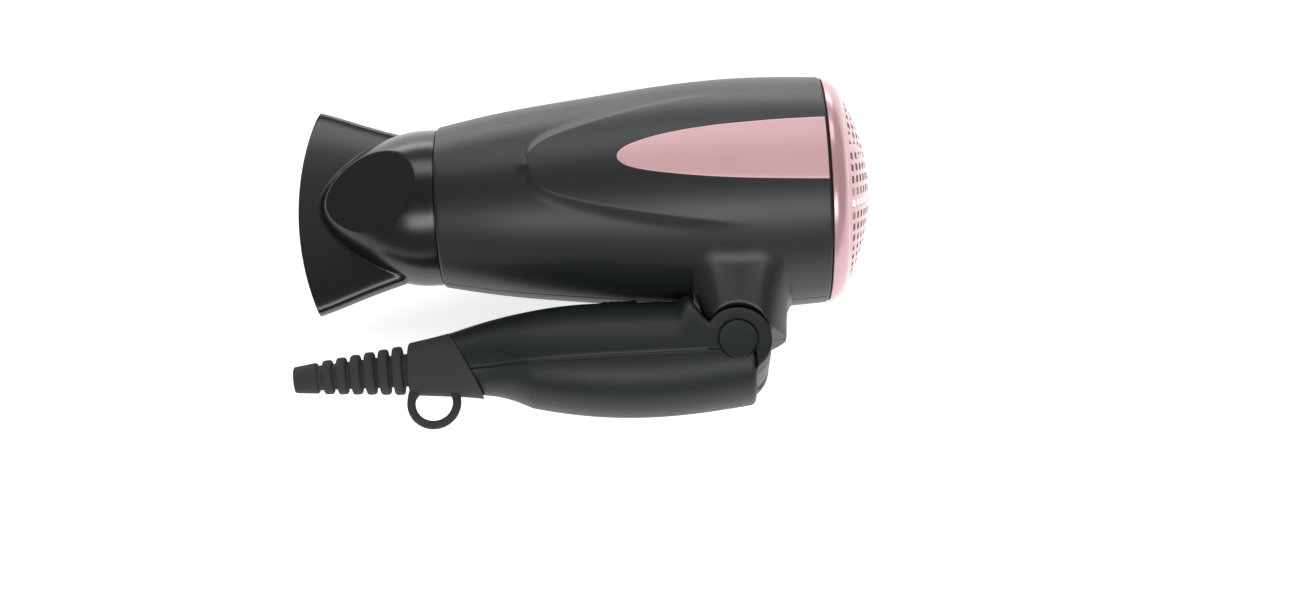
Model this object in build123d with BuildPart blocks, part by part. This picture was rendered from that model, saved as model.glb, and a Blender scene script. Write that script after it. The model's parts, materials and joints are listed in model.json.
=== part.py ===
"""Travel hair dryer with a folding handle, folded and lying on its side.

All sizes are millimetres. +X runs along the barrel towards the air inlet, +Y from the handle up
to the barrel, and +Z is the axis of the fold hinge. The origin lies under the middle of the
folded dryer, on the surface that the barrel rests on.

Most profiles are drawn on the dryer's middle plane, where u runs along the barrel axis from a
datum over the hinge and v runs up from the barrel axis.
"""
from build123d import *
from math import atan2, cos, pi, sin, sqrt
import os

os.makedirs("parts", exist_ok=True)

# ---- place of the barrel axis and its datum in the dryer's frame
DATUM_X = 47.35
AXIS_Y = 18.25
AXIS_Z = 37.3

# ---- barrel
FRONT_U = -92.8
REAR_U = 30.3
MOUTH_R = 24.6
MOUTH_DEPTH = 10.0
REAR_BORE_R = 33.8
REAR_BORE_DEPTH = 8.0

# ---- fold hinge
HINGE_U = -0.6
HINGE_V = -54.5
EAR_R = 10.6
EAR_IN = 12.05
EAR_OUT = 17.5
POCKET_R = 11.1
KNUCKLE_HALF = 11.4
WASHER = 0.35
KNUCKLE_CLEAR_R = 11.5
SLEEVE_R = 5.0
SLEEVE_WALL = 1.2
RUNNING = 0.05
CAP_R = 6.0

# ---- inlays on both sides of the barrel
INLAY_TIP_U = -35.2
INLAY_REAR_U = 29.6
INLAY_HALF = 10.2
INLAY_DEPTH = 1.2

# ---- rear ring and inlet grille
RING_LENGTH = 5.2
GRILLE_R = 32.4
GRILLE_RISE = 9.4
GRILLE_WALL = 1.6
GRILLE_BEND = 60.5
GRILLE_ROWS = 8
GRILLE_FIRST_R = 29.0
GRILLE_ROW_PITCH = 3.3
GRILLE_HOLE_PITCH = 3.8
FILTER_R = 31.0

# ---- air side
DUCT_R = 30.5
DUCT_WALL = 1.2
HUB_R = 13.6
MOTOR_R = 12.5
MOTOR_FRONT_U = -14.0
MOTOR_REAR_U = 12.0
SHAFT_R = 1.15
ROTOR_R = 9.2
MAGNET_IN_R = 9.7
MAGNET_OUT_R = 11.4
FAN_HUB_R = 11.0
FAN_TIP_R = 28.4
FAN_U = 15.5
FAN_DEPTH = 9.0
BLADE_COUNT = 7
VANE_COUNT = 8

# ---- heater
HEATER_FRONT_U = -72.0
HEATER_REAR_U = -22.0
SLEEVE_IN_R = 24.0
SLEEVE_OUT_R = 24.8
BOARD_HALF = 22.5
MICA = 0.8
COIL_R = 23.1
COIL_WIRE_R = 0.35
COIL_TURNS = 8

# ---- nozzle
COLLAR_R = 25.1
FACET_END_U = -133.0
FACET_END_W = 5.4
COLLAR_END_U = -104.4
NOZZLE_WALL = 1.6
SPIGOT_R = 24.1
SPIGOT_LENGTH = 8.6
CLIP_IN_R = 23.3
CLIP_U = -88.8
CLIP_WIDTH = 1.6
WING_HALF = 33.1
WING_U = -132.3
LIP_U = -138.1
BLADE_HALF = 4.8

# ---- handle
HANDLE_WALL = 2.2
PARTING_V = -57.5
SEAM_TOP = (-91.3, -43.0)
SEAM_FOOT = (-80.5, -64.5)
BACK_END_U = 4.8
GRIP_STATIONS = [  # along the barrel, centre height, half height, half width
    (-103.6, -54.1, 8.05, 8.0),
    (-91.0, -53.3, 9.8, 9.7),
    (-82.0, -52.6, 11.4, 11.2),
    (-66.0, -52.9, 15.0, 14.5),
    (-49.0, -53.8, 17.4, 16.8),
    (-33.0, -54.6, 17.9, 17.4),
    (-17.0, -54.7, 17.5, 17.5),
    (8.0, -54.5, 14.9, 17.5),
]

HANDLE_SCREWS = [  # along the barrel, top of its tower, foot of its tower, seat of its head
    (-70.0, -40.0, -65.8, -62.0),
    (-20.5, -38.6, -71.0, -66.0),
]
TOWER_R = 3.4

# ---- screws
HOUSING_SCREWS = [(10.5, -41.0), (-7.5, -39.5)]
SCREW_R = 1.1
SCREW_HEAD_R = 2.1
SCREW_HEAD_HEIGHT = 1.5
SCREW_END_W = 9.0
SCREW_HEAD_W = -12.0

# ---- slide switch
SWITCH_TOP_V = -41.0
STEM_LENGTH = 5.0
SWITCH_U = -37.0
SWITCH_TRAVEL = 8.0
PAD_LENGTH = 12.0
PAD_HALF = 4.5
RECESS_V = -38.1
PAD_TOP_V = -35.9

LEAD_W = 4.8
CLAMP_U = -78.6

# ---- cord end
TIP_U, TIP_V = -139.6, -55.9
ROOT_U, ROOT_V = -105.0, -54.4
CORD_R = 3.3
RIB_COUNT = 6
RIB_FIRST = 10.6
RIB_PITCH = 4.42
RIB_WIDTH = 3.0
RIB_FIRST_R = 5.4
RIB_LAST_R = 7.6
TIP_SLEEVE = 7.4
RELIEF_LENGTH = 44.0
FLANGE_AT = 42.0
FLANGE_R = 5.8
TONGUE_R = 6.6
LOOP_U, LOOP_V = -95.9, -65.5

middle = Plane(origin=(DATUM_X, AXIS_Y, AXIS_Z))
barrel_axis = Axis((DATUM_X, AXIS_Y, AXIS_Z), (1, 0, 0))


def across(u, v=0.0, w=0.0):
    """Plane square to the barrel at u, with its x up (+Y) and its y along the hinge (+Z)."""
    return Plane(origin=(DATUM_X + u, AXIS_Y + v, AXIS_Z + w), x_dir=(0, 1, 0), z_dir=(1, 0, 0))


def at_hinge(w):
    """Plane square to the hinge axis, w from the middle plane, centred on the hinge."""
    return Plane(origin=(DATUM_X + HINGE_U, AXIS_Y + HINGE_V, AXIS_Z + w))


def level(v, u=0.0, w=0.0):
    """Plane square to +Y at height v, with its x along the barrel and its y towards -Z."""
    return Plane(origin=(DATUM_X + u, AXIS_Y + v, AXIS_Z + w), x_dir=(1, 0, 0), z_dir=(0, 1, 0))


# ======================================================================= barrel


def skin_line():
    """Outline of the barrel's outside, from its mouth to its rear edge."""
    return Spline(
        (FRONT_U, 25.6), (-75.0, 29.2), (-46.0, 33.0), (-20.0, 35.9), (6.5, 37.2), (REAR_U, 36.2)
    )


def inlay(side):
    """Leaf-shaped inlay that lies flush in a shallow seat on one side of the barrel."""
    with BuildPart() as leaf:
        with BuildSketch(middle):
            with BuildLine():
                outside = skin_line()
                Line(outside @ 1, (REAR_U, 36.2 - INLAY_DEPTH))
                offset_skin = Spline(
                    (REAR_U, 36.2 - INLAY_DEPTH), (6.5, 37.2 - INLAY_DEPTH), (-20.0, 35.9 - INLAY_DEPTH),
                    (-46.0, 33.0 - INLAY_DEPTH), (-75.0, 29.2 - INLAY_DEPTH), (FRONT_U, 25.6 - INLAY_DEPTH),
                )
                Line(offset_skin @ 1, outside @ 0)
            make_face()
        revolve(axis=barrel_axis)
        with BuildSketch(middle.offset(side * 20.0)):
            with BuildLine():
                edge = Spline(
                    (INLAY_REAR_U, -INLAY_HALF), (-2.6, -8.6), (-22.0, -5.9), (INLAY_TIP_U, 0.0),
                    (-22.0, 5.9), (-2.6, 8.6), (INLAY_REAR_U, INLAY_HALF),
                )
                Line(edge @ 1, edge @ 0)
            make_face()
        extrude(amount=side * 30.0, mode=Mode.INTERSECT)
    return leaf


inlay_left = inlay(1)
inlay_left.part.label = "inlay_left"
export_step(inlay_left.part, "parts/inlay_left.step")

inlay_right = inlay(-1)
inlay_right.part.label = "inlay_right"
export_step(inlay_right.part, "parts/inlay_right.step")

with BuildPart() as housing:
    with BuildSketch(middle):
        with BuildLine():
            skin = skin_line()
            Polyline(skin @ 1, (REAR_U, 0), (FRONT_U, 0), skin @ 0)
        make_face()
    revolve(axis=barrel_axis)
    # the boss that carries the hinge, under the rear of the barrel
    with BuildSketch(middle):
        with BuildLine():
            nose = Spline((-14.0, -30.0), (-12.6, -38.0), (-9.2, -47.6))
            Polyline(nose @ 1, (-4.0, -50.0), (15.4, -50.0), (15.4, -42.5))
            rear = RadiusArc((15.4, -42.5), (20.4, -36.0), 7.0)
            Polyline(rear @ 1, (20.4, -30.0), nose @ 0)
        make_face()
    extrude(amount=19.5, both=True)
    with BuildSketch(at_hinge(0)):
        Circle(EAR_R)
    extrude(amount=KNUCKLE_HALF, both=True)
    # the inside of the barrel
    with BuildSketch(middle):
        with BuildLine():
            bore = Spline(
                (-82.0, 24.6), (-75.0, 26.8), (-46.0, 30.8), (-20.0, 33.7), (6.5, 34.8),
                (REAR_U - REAR_BORE_DEPTH, 34.4),
            )
            Polyline(
                bore @ 1, (REAR_U - REAR_BORE_DEPTH, REAR_BORE_R), (REAR_U, REAR_BORE_R), (REAR_U, 0),
                (FRONT_U, 0), (FRONT_U, MOUTH_R), (FRONT_U + MOUTH_DEPTH, MOUTH_R), bore @ 0,
            )
        make_face()
    revolve(axis=barrel_axis, mode=Mode.SUBTRACT)
    # pockets for the handle's ears, on both sides of the knuckle
    for side in (1, -1):
        with BuildSketch(at_hinge(side * KNUCKLE_HALF)):
            Circle(POCKET_R)
        extrude(amount=side * 12.0, mode=Mode.SUBTRACT)
    # the bore of the hinge sleeve, and the way of the leads up into the barrel
    with BuildSketch(at_hinge(0)):
        Circle(SLEEVE_R)
    extrude(amount=30, both=True, mode=Mode.SUBTRACT)
    with BuildSketch(level(HINGE_V, HINGE_U)):
        SlotOverall(7.0, 4.0)
    extrude(amount=25, mode=Mode.SUBTRACT)
    # the seats of the inlays
    for side in (inlay_left, inlay_right):
        add(side.part, mode=Mode.SUBTRACT)


def bored_half(keep):
    """One half of the housing, with the pilot holes of its screws."""
    with BuildPart() as half:
        add(housing.part)
        for u, v in HOUSING_SCREWS:
            with BuildSketch(Plane(origin=(DATUM_X + u, AXIS_Y + v, AXIS_Z + SCREW_END_W))):
                Circle(SCREW_R)
            extrude(amount=-40.0, mode=Mode.SUBTRACT)
            with BuildSketch(Plane(origin=(DATUM_X + u, AXIS_Y + v, AXIS_Z + SCREW_HEAD_W))):
                Circle(SCREW_HEAD_R)
            extrude(amount=-20.0, mode=Mode.SUBTRACT)
        split(bisect_by=middle, keep=keep)
    return half


housing_left = bored_half(Keep.TOP)
housing_left.part.label = "housing_left"
export_step(housing_left.part, "parts/housing_left.step")

housing_right = bored_half(Keep.BOTTOM)
housing_right.part.label = "housing_right"
export_step(housing_right.part, "parts/housing_right.step")

with BuildPart() as housing_screws:
    for u, v in HOUSING_SCREWS:
        with BuildSketch(Plane(origin=(DATUM_X + u, AXIS_Y + v, AXIS_Z + SCREW_END_W - 1.0))):
            Circle(SCREW_R)
        extrude(amount=SCREW_HEAD_W - SCREW_END_W + 1.0)
        with BuildSketch(Plane(origin=(DATUM_X + u, AXIS_Y + v, AXIS_Z + SCREW_HEAD_W))):
            Circle(SCREW_HEAD_R)
        extrude(amount=-SCREW_HEAD_HEIGHT)
housing_screws.part.label = "housing_screws"
export_step(housing_screws.part, "parts/housing_screws.step")

# ----------------------------------------------------------------------- rear ring and grille

with BuildPart() as rear_ring:
    with BuildSketch(middle):
        with BuildLine():
            Polyline(
                (REAR_U - REAR_BORE_DEPTH, REAR_BORE_R), (REAR_U, REAR_BORE_R), (REAR_U, 36.0),
                (REAR_U + 1.5, 36.0),
            )
            Spline((REAR_U + 1.5, 36.0), (34.3, 34.4), (REAR_U + RING_LENGTH, GRILLE_R + 0.2))
            Polyline(
                (REAR_U + RING_LENGTH, GRILLE_R + 0.2), (REAR_U + RING_LENGTH, GRILLE_R),
                (REAR_U - REAR_BORE_DEPTH, GRILLE_R), (REAR_U - REAR_BORE_DEPTH, REAR_BORE_R),
            )
        make_face()
    revolve(axis=barrel_axis)
rear_ring.part.label = "rear_ring"
export_step(rear_ring.part, "parts/rear_ring.step")

GRILLE_U = REAR_U + RING_LENGTH


def dome_point(radius, depth):
    """Point of the grille's dome at a radius from the axis, at a depth under its outer face."""
    bend_centre = GRILLE_U + GRILLE_RISE - GRILLE_BEND
    return bend_centre + sqrt((GRILLE_BEND - depth) ** 2 - radius**2), radius


with BuildPart() as inlet_grille:
    with BuildSketch(middle):
        with BuildLine():
            dome = ThreePointArc(
                dome_point(GRILLE_R, 0), dome_point(GRILLE_R / 2, 0), dome_point(0, 0)
            )
            under = ThreePointArc(
                dome_point(0, GRILLE_WALL), dome_point(FILTER_R / 2, GRILLE_WALL),
                dome_point(FILTER_R, GRILLE_WALL),
            )
            Line(dome @ 1, under @ 0)
            Polyline(under @ 1, (GRILLE_U - 4.0, FILTER_R), (GRILLE_U - 4.0, GRILLE_R), dome @ 0)
        make_face()
    revolve(axis=barrel_axis)
    with BuildSketch(across(GRILLE_U - 2.0)):
        for row in range(GRILLE_ROWS):
            radius = GRILLE_FIRST_R - row * GRILLE_ROW_PITCH
            with PolarLocations(radius, round(2 * pi * radius / GRILLE_HOLE_PITCH)):
                Rectangle(1.7, 2.4)
    extrude(amount=GRILLE_RISE + 6.0, mode=Mode.SUBTRACT)
inlet_grille.part.label = "inlet_grille"
export_step(inlet_grille.part, "parts/inlet_grille.step")

with BuildPart() as inlet_filter:
    with BuildSketch(across(GRILLE_U - 4.0)):
        Circle(FILTER_R)
    extrude(amount=0.6)
inlet_filter.part.label = "inlet_filter"
export_step(inlet_filter.part, "parts/inlet_filter.step")

# ----------------------------------------------------------------------- outlet guard

with BuildPart() as outlet_guard:
    with BuildSketch(across(FRONT_U + MOUTH_DEPTH + 0.1)):
        for radius in (8.0, 15.0, 22.0):
            Circle(radius + 0.8)
            Circle(radius - 0.8, mode=Mode.SUBTRACT)
        with PolarLocations(16.5, 6):
            Rectangle(16.0, 1.4)
        Circle(MOUTH_R, mode=Mode.INTERSECT)
    extrude(amount=1.6)
outlet_guard.part.label = "outlet_guard"
export_step(outlet_guard.part, "parts/outlet_guard.step")

# ----------------------------------------------------------------------- motor and its mount


def radial_planes(u, radius, count):
    """Planes square to the spokes of a wheel on the barrel axis, with x along the barrel."""
    planes = []
    for turn in range(count):
        angle = 2 * pi * turn / count
        origin = (DATUM_X + u, AXIS_Y + radius * cos(angle), AXIS_Z + radius * sin(angle))
        planes.append(Plane(origin=origin, x_dir=(1, 0, 0), z_dir=(0, cos(angle), sin(angle))))
    return planes


with BuildPart() as motor_mount:
    with BuildSketch(across(-6.0)):
        Circle(DUCT_R)
        Circle(DUCT_R - DUCT_WALL, mode=Mode.SUBTRACT)
    extrude(amount=33.0)
    with BuildSketch(across(-4.0)):
        Circle(HUB_R)
        Circle(MOTOR_R, mode=Mode.SUBTRACT)
    extrude(amount=16.0)
    with BuildSketch(across(16.0)):
        Circle(34.0)
        Circle(DUCT_R - DUCT_WALL, mode=Mode.SUBTRACT)
    extrude(amount=1.6)
    for spoke in radial_planes(4.0, MOTOR_R + 0.6, VANE_COUNT):
        with BuildSketch(spoke):
            Rectangle(12.0, 1.2, rotation=20)
        extrude(amount=DUCT_R - DUCT_WALL - MOTOR_R)
motor_mount.part.label = "motor_mount"
export_step(motor_mount.part, "parts/motor_mount.step")

with BuildPart() as motor_can:
    with BuildSketch(across(MOTOR_FRONT_U)):
        Circle(MOTOR_R)
        Circle(MOTOR_R - 1.0, mode=Mode.SUBTRACT)
    extrude(amount=MOTOR_REAR_U - MOTOR_FRONT_U)
    with BuildSketch(across(MOTOR_REAR_U - 1.0)):
        Circle(MOTOR_R)
        Circle(SHAFT_R + RUNNING, mode=Mode.SUBTRACT)
    extrude(amount=1.0)
motor_can.part.label = "motor_can"
export_step(motor_can.part, "parts/motor_can.step")

with BuildPart() as motor_end_bell:
    with BuildSketch(across(MOTOR_FRONT_U - 2.5)):
        Circle(MOTOR_R)
        Circle(SHAFT_R + RUNNING, mode=Mode.SUBTRACT)
    extrude(amount=2.5)
    with BuildSketch(across(MOTOR_FRONT_U - 5.0)):
        Circle(4.0)
        Circle(SHAFT_R + RUNNING, mode=Mode.SUBTRACT)
    extrude(amount=2.5)
motor_end_bell.part.label = "motor_end_bell"
export_step(motor_end_bell.part, "parts/motor_end_bell.step")

with BuildPart() as motor_magnets:
    with BuildSketch(across(-8.0)):
        Circle(MAGNET_OUT_R)
        Circle(MAGNET_IN_R, mode=Mode.SUBTRACT)
        Rectangle(30.0, 9.0, mode=Mode.SUBTRACT)
    extrude(amount=16.0)
motor_magnets.part.label = "motor_magnets"
export_step(motor_magnets.part, "parts/motor_magnets.step")

with BuildPart() as motor_brushes:
    for side in (1, -1):
        with BuildSketch(across(MOTOR_FRONT_U, side * 5.2)):
            Rectangle(4.4, 2.4)
        extrude(amount=3.5)
motor_brushes.part.label = "motor_brushes"
export_step(motor_brushes.part, "parts/motor_brushes.step")

with BuildPart() as rectifier_diodes:
    with BuildSketch(across(MOTOR_FRONT_U - 2.5)):
        with PolarLocations(8.6, 4, start_angle=45):
            Circle(1.3)
    extrude(amount=-4.6)
rectifier_diodes.part.label = "rectifier_diodes"
export_step(rectifier_diodes.part, "parts/rectifier_diodes.step")

# ----------------------------------------------------------------------- what the motor turns

with BuildPart() as motor_shaft:
    with BuildSketch(across(MOTOR_FRONT_U - 4.6)):
        Circle(SHAFT_R)
    extrude(amount=FAN_U + FAN_DEPTH - MOTOR_FRONT_U + 3.0)
motor_shaft.part.label = "motor_shaft"
export_step(motor_shaft.part, "parts/motor_shaft.step")

with BuildPart() as rotor_core:
    with BuildSketch(across(-7.0)):
        Circle(ROTOR_R)
        with PolarLocations(7.4, 3):
            Rectangle(5.0, 1.6, mode=Mode.SUBTRACT)
            with Locations((-2.6, 0)):
                Circle(1.9, mode=Mode.SUBTRACT)
        Circle(SHAFT_R, mode=Mode.SUBTRACT)
    extrude(amount=14.0)
rotor_core.part.label = "rotor_core"
export_step(rotor_core.part, "parts/rotor_core.step")

with BuildPart() as commutator:
    with BuildSketch(across(MOTOR_FRONT_U + 0.4)):
        Circle(2.7)
        Circle(SHAFT_R, mode=Mode.SUBTRACT)
    extrude(amount=4.0)
commutator.part.label = "commutator"
export_step(commutator.part, "parts/commutator.step")

with BuildPart() as fan_impeller:
    with BuildSketch(across(FAN_U)):
        Circle(FAN_HUB_R)
        Circle(SHAFT_R, mode=Mode.SUBTRACT)
    extrude(amount=FAN_DEPTH)
    for spoke in radial_planes(FAN_U + FAN_DEPTH / 2, FAN_HUB_R - 0.8, BLADE_COUNT):
        with BuildSketch(spoke):
            Rectangle(11.0, 1.3, rotation=52)
        extrude(amount=FAN_TIP_R - FAN_HUB_R + 0.8)
fan_impeller.part.label = "fan_impeller"
export_step(fan_impeller.part, "parts/fan_impeller.step")

# ----------------------------------------------------------------------- heater

with BuildPart() as heater_sleeve:
    with BuildSketch(across(HEATER_FRONT_U - 2.0)):
        Circle(SLEEVE_OUT_R)
        Circle(SLEEVE_IN_R, mode=Mode.SUBTRACT)
    extrude(amount=HEATER_REAR_U - HEATER_FRONT_U + 4.0)
heater_sleeve.part.label = "heater_sleeve"
export_step(heater_sleeve.part, "parts/heater_sleeve.step")

heater_middle_u = (HEATER_FRONT_U + HEATER_REAR_U) / 2
heater_length = HEATER_REAR_U - HEATER_FRONT_U


def heater_board(plane, slot_end):
    """Mica board on the given plane, slotted to its middle from one end for the other board."""
    with BuildPart() as board:
        with BuildSketch(plane):
            Rectangle(heater_length, 2 * BOARD_HALF)
            with Locations((slot_end * heater_length / 4, 0)):
                Rectangle(heater_length / 2, MICA + 0.1, mode=Mode.SUBTRACT)
        extrude(amount=MICA / 2, both=True)
    return board


heater_board_upright = heater_board(
    Plane(origin=(DATUM_X + heater_middle_u, AXIS_Y, AXIS_Z)), -1
)
heater_board_upright.part.label = "heater_board_upright"
export_step(heater_board_upright.part, "parts/heater_board_upright.step")

heater_board_cross = heater_board(level(0, heater_middle_u), 1)
heater_board_cross.part.label = "heater_board_cross"
export_step(heater_board_cross.part, "parts/heater_board_cross.step")

with BuildPart() as heater_coil:
    for turn in range(COIL_TURNS):
        with Locations(across(HEATER_FRONT_U + 4.0 + turn * (heater_length - 8.0) / (COIL_TURNS - 1))):
            Torus(COIL_R, COIL_WIRE_R)
heater_coil.part.label = "heater_coil"
export_step(heater_coil.part, "parts/heater_coil.step")

with BuildPart() as thermostat:
    with BuildSketch(Plane(origin=(DATUM_X - 32.0, AXIS_Y + 11.0, AXIS_Z + MICA / 2))):
        Rectangle(11.0, 7.0)
    extrude(amount=2.6)
    with BuildSketch(Plane(origin=(DATUM_X - 30.5, AXIS_Y + 11.0, AXIS_Z + MICA / 2 + 2.6))):
        Circle(2.8)
    extrude(amount=1.0)
thermostat.part.label = "thermostat"
export_step(thermostat.part, "parts/thermostat.step")

with BuildPart() as thermal_fuse:
    with BuildSketch(across(-37.0, -11.0, MICA / 2 + 1.4)):
        Circle(1.4)
    extrude(amount=9.0)
thermal_fuse.part.label = "thermal_fuse"
export_step(thermal_fuse.part, "parts/thermal_fuse.step")


def lead_pair(route, half_gap, radius, bend):
    """Two insulated leads side by side along a route of points on the middle plane."""
    with BuildPart() as leads:
        for side in (1, -1):
            w = side * half_gap
            with BuildLine():
                path = FilletPolyline(
                    [(DATUM_X + u, AXIS_Y + v, AXIS_Z + w) for u, v in route], radius=bend
                )
            with BuildSketch(Plane(origin=path @ 0, z_dir=path % 0)):
                Circle(radius)
            sweep()
    return leads


barrel_leads = lead_pair(
    [(HINGE_U, -50.0), (HINGE_U, -32.3), (-18.0, -32.3), (-18.0, -20.0), (-21.9, -20.0)], 1.0, 0.8, 1.8
)
barrel_leads.part.label = "barrel_leads"
export_step(barrel_leads.part, "parts/barrel_leads.step")

# ======================================================================= nozzle


def nozzle_form(inset, reach):
    """Solid of the concentrator's outside, or of its air way when inset by the wall."""
    with BuildPart() as form:
        with BuildSketch(middle):
            with BuildLine():
                Line((FRONT_U + inset, 0), (FRONT_U + inset, COLLAR_R - inset))
                Line((FRONT_U + inset, COLLAR_R - inset), (COLLAR_END_U, COLLAR_R - inset))
                bullet = Spline(
                    (COLLAR_END_U, COLLAR_R - inset), (-116.0, 19.8 - inset), (-122.0, 15.5 - inset),
                    (-131.5 + inset, 0),
                )
                Line(bullet @ 1, (FRONT_U + inset, 0))
            make_face()
        revolve(axis=barrel_axis)
        # two sloping flats narrow the round collar towards the slot
        with BuildSketch(level(0)):
            with BuildLine():
                Polyline(
                    (FRONT_U + 1, 30), (-97.5, COLLAR_R - 1.15 * inset), (FACET_END_U, FACET_END_W - 1.15 * inset),
                    (FACET_END_U, -FACET_END_W + 1.15 * inset), (-97.5, -COLLAR_R + 1.15 * inset),
                    (FRONT_U + 1, -30), (FRONT_U + 1, 30),
                )
            make_face()
        extrude(amount=40, both=True, mode=Mode.INTERSECT)
        # the wide flat wing that ends in the slot
        with BuildSketch(middle):
            with BuildLine():
                Polyline(
                    (WING_U - reach, -WING_HALF + inset), (COLLAR_END_U, -COLLAR_R + inset),
                    (COLLAR_END_U + 6.0, -18.0), (COLLAR_END_U + 6.0, 18.0), (COLLAR_END_U, COLLAR_R - inset),
                    (WING_U - reach, WING_HALF - inset),
                )
                ThreePointArc(
                    (WING_U - reach, WING_HALF - inset), (LIP_U - reach, 0), (WING_U - reach, -WING_HALF + inset)
                )
            make_face()
        extrude(amount=BLADE_HALF - inset, both=True)
    return form


nozzle_outside = nozzle_form(0.0, 0.0)
nozzle_air_way = nozzle_form(NOZZLE_WALL, 6.0)

with BuildPart() as nozzle:
    add(nozzle_outside.part)
    with BuildSketch(across(FRONT_U)):
        Circle(SPIGOT_R)
    extrude(amount=SPIGOT_LENGTH)
    add(nozzle_air_way.part, mode=Mode.SUBTRACT)
    with BuildSketch(across(COLLAR_END_U + 6.0)):
        Circle(SPIGOT_R - NOZZLE_WALL)
    extrude(amount=30.0, mode=Mode.SUBTRACT)
    with BuildSketch(across(CLIP_U - 0.2)):
        Circle(SPIGOT_R + 1)
        Circle(CLIP_IN_R, mode=Mode.SUBTRACT)
    extrude(amount=CLIP_WIDTH + 0.4, mode=Mode.SUBTRACT)
nozzle.part.label = "nozzle"
export_step(nozzle.part, "parts/nozzle.step")

with BuildPart() as nozzle_clip_ring:
    with BuildSketch(across(CLIP_U)):
        Circle(MOUTH_R - 0.1)
        Circle(CLIP_IN_R + RUNNING, mode=Mode.SUBTRACT)
    extrude(amount=CLIP_WIDTH)
nozzle_clip_ring.part.label = "nozzle_clip_ring"
export_step(nozzle_clip_ring.part, "parts/nozzle_clip_ring.step")

# ======================================================================= fold hinge

with BuildPart() as hinge_sleeve:
    with BuildSketch(at_hinge(-EAR_OUT + 1.4)):
        Circle(SLEEVE_R)
        Circle(SLEEVE_R - SLEEVE_WALL, mode=Mode.SUBTRACT)
    extrude(amount=2 * (EAR_OUT - 1.4))
    with BuildSketch(level(HINGE_V, HINGE_U)):
        SlotOverall(7.0, 4.0)
    extrude(amount=10, mode=Mode.SUBTRACT)
hinge_sleeve.part.label = "hinge_sleeve"
export_step(hinge_sleeve.part, "parts/hinge_sleeve.step")

with BuildPart() as hinge_washers:
    for side in (1, -1):
        with BuildSketch(at_hinge(side * KNUCKLE_HALF)):
            Circle(8.4)
            Circle(SLEEVE_R, mode=Mode.SUBTRACT)
        extrude(amount=side * WASHER)
hinge_washers.part.label = "hinge_washers"
export_step(hinge_washers.part, "parts/hinge_washers.step")

with BuildPart() as hinge_cap_left:
    with BuildSketch(at_hinge(EAR_OUT - 1.2)):
        Circle(CAP_R - 0.4)
    extrude(amount=0.4)
    with BuildSketch(at_hinge(EAR_OUT - 0.8)):
        Circle(CAP_R)
    extrude(amount=0.8)
hinge_cap_left.part.label = "hinge_cap_left"
export_step(hinge_cap_left.part, "parts/hinge_cap_left.step")

with BuildPart() as hinge_cap_right:
    add(hinge_cap_left.part.mirror(middle))
hinge_cap_right.part.label = "hinge_cap_right"
export_step(hinge_cap_right.part, "parts/hinge_cap_right.step")

# ======================================================================= handle


def grip_form(inset, stations):
    """Round, gently bellied solid of the handle, lofted through its stations."""
    with BuildPart() as form:
        for u, v, half_height, half_width in stations:
            with BuildSketch(across(u, v)):
                Ellipse(half_height - inset, half_width - inset)
        loft()
    return form


grip_outside = grip_form(0.0, GRIP_STATIONS)
grip_inside = grip_form(HANDLE_WALL, GRIP_STATIONS[:-2] + [(-13.0, -54.6, 17.2, 17.5)])
seam_run = Vector(SEAM_FOOT[0] - SEAM_TOP[0], SEAM_FOOT[1] - SEAM_TOP[1], 0)
seam_plane = Plane(
    origin=(DATUM_X + SEAM_TOP[0], AXIS_Y + SEAM_TOP[1], AXIS_Z),
    x_dir=(0, 0, 1),
    z_dir=(-seam_run.Y, seam_run.X, 0),
)

with BuildPart() as handle:
    add(grip_outside.part)
    split(bisect_by=seam_plane, keep=Keep.TOP)
    # side outline at the hinge end, clear of the barrel's boss
    with BuildSketch(middle):
        with BuildLine():
            Polyline((-120, -30), (-15.3, -30), (-15.3, -37.2))
            Spline((-15.3, -37.2), (-13.0, -44.0), (-10.0, -49.9))
            Polyline(
                (-10.0, -49.9), (-10.0, HINGE_V), (BACK_END_U, HINGE_V), (BACK_END_U, -90), (-120, -90),
                (-120, -30),
            )
        make_face()
    extrude(amount=30, both=True, mode=Mode.INTERSECT)
    with BuildSketch(at_hinge(0)):
        Circle(EAR_R)
    extrude(amount=EAR_OUT, both=True)
    add(grip_inside.part, mode=Mode.SUBTRACT)
    with BuildSketch(at_hinge(0)):
        Circle(KNUCKLE_CLEAR_R)
    extrude(amount=EAR_IN, both=True, mode=Mode.SUBTRACT)
    with BuildSketch(at_hinge(0)):
        Circle(SLEEVE_R + RUNNING)
    extrude(amount=EAR_OUT, both=True, mode=Mode.SUBTRACT)
    for side in (1, -1):
        with BuildSketch(at_hinge(side * (EAR_OUT - 1.2))):
            Circle(CAP_R + 0.3)
        extrude(amount=side * 3, mode=Mode.SUBTRACT)

parting = level(PARTING_V)

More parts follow.
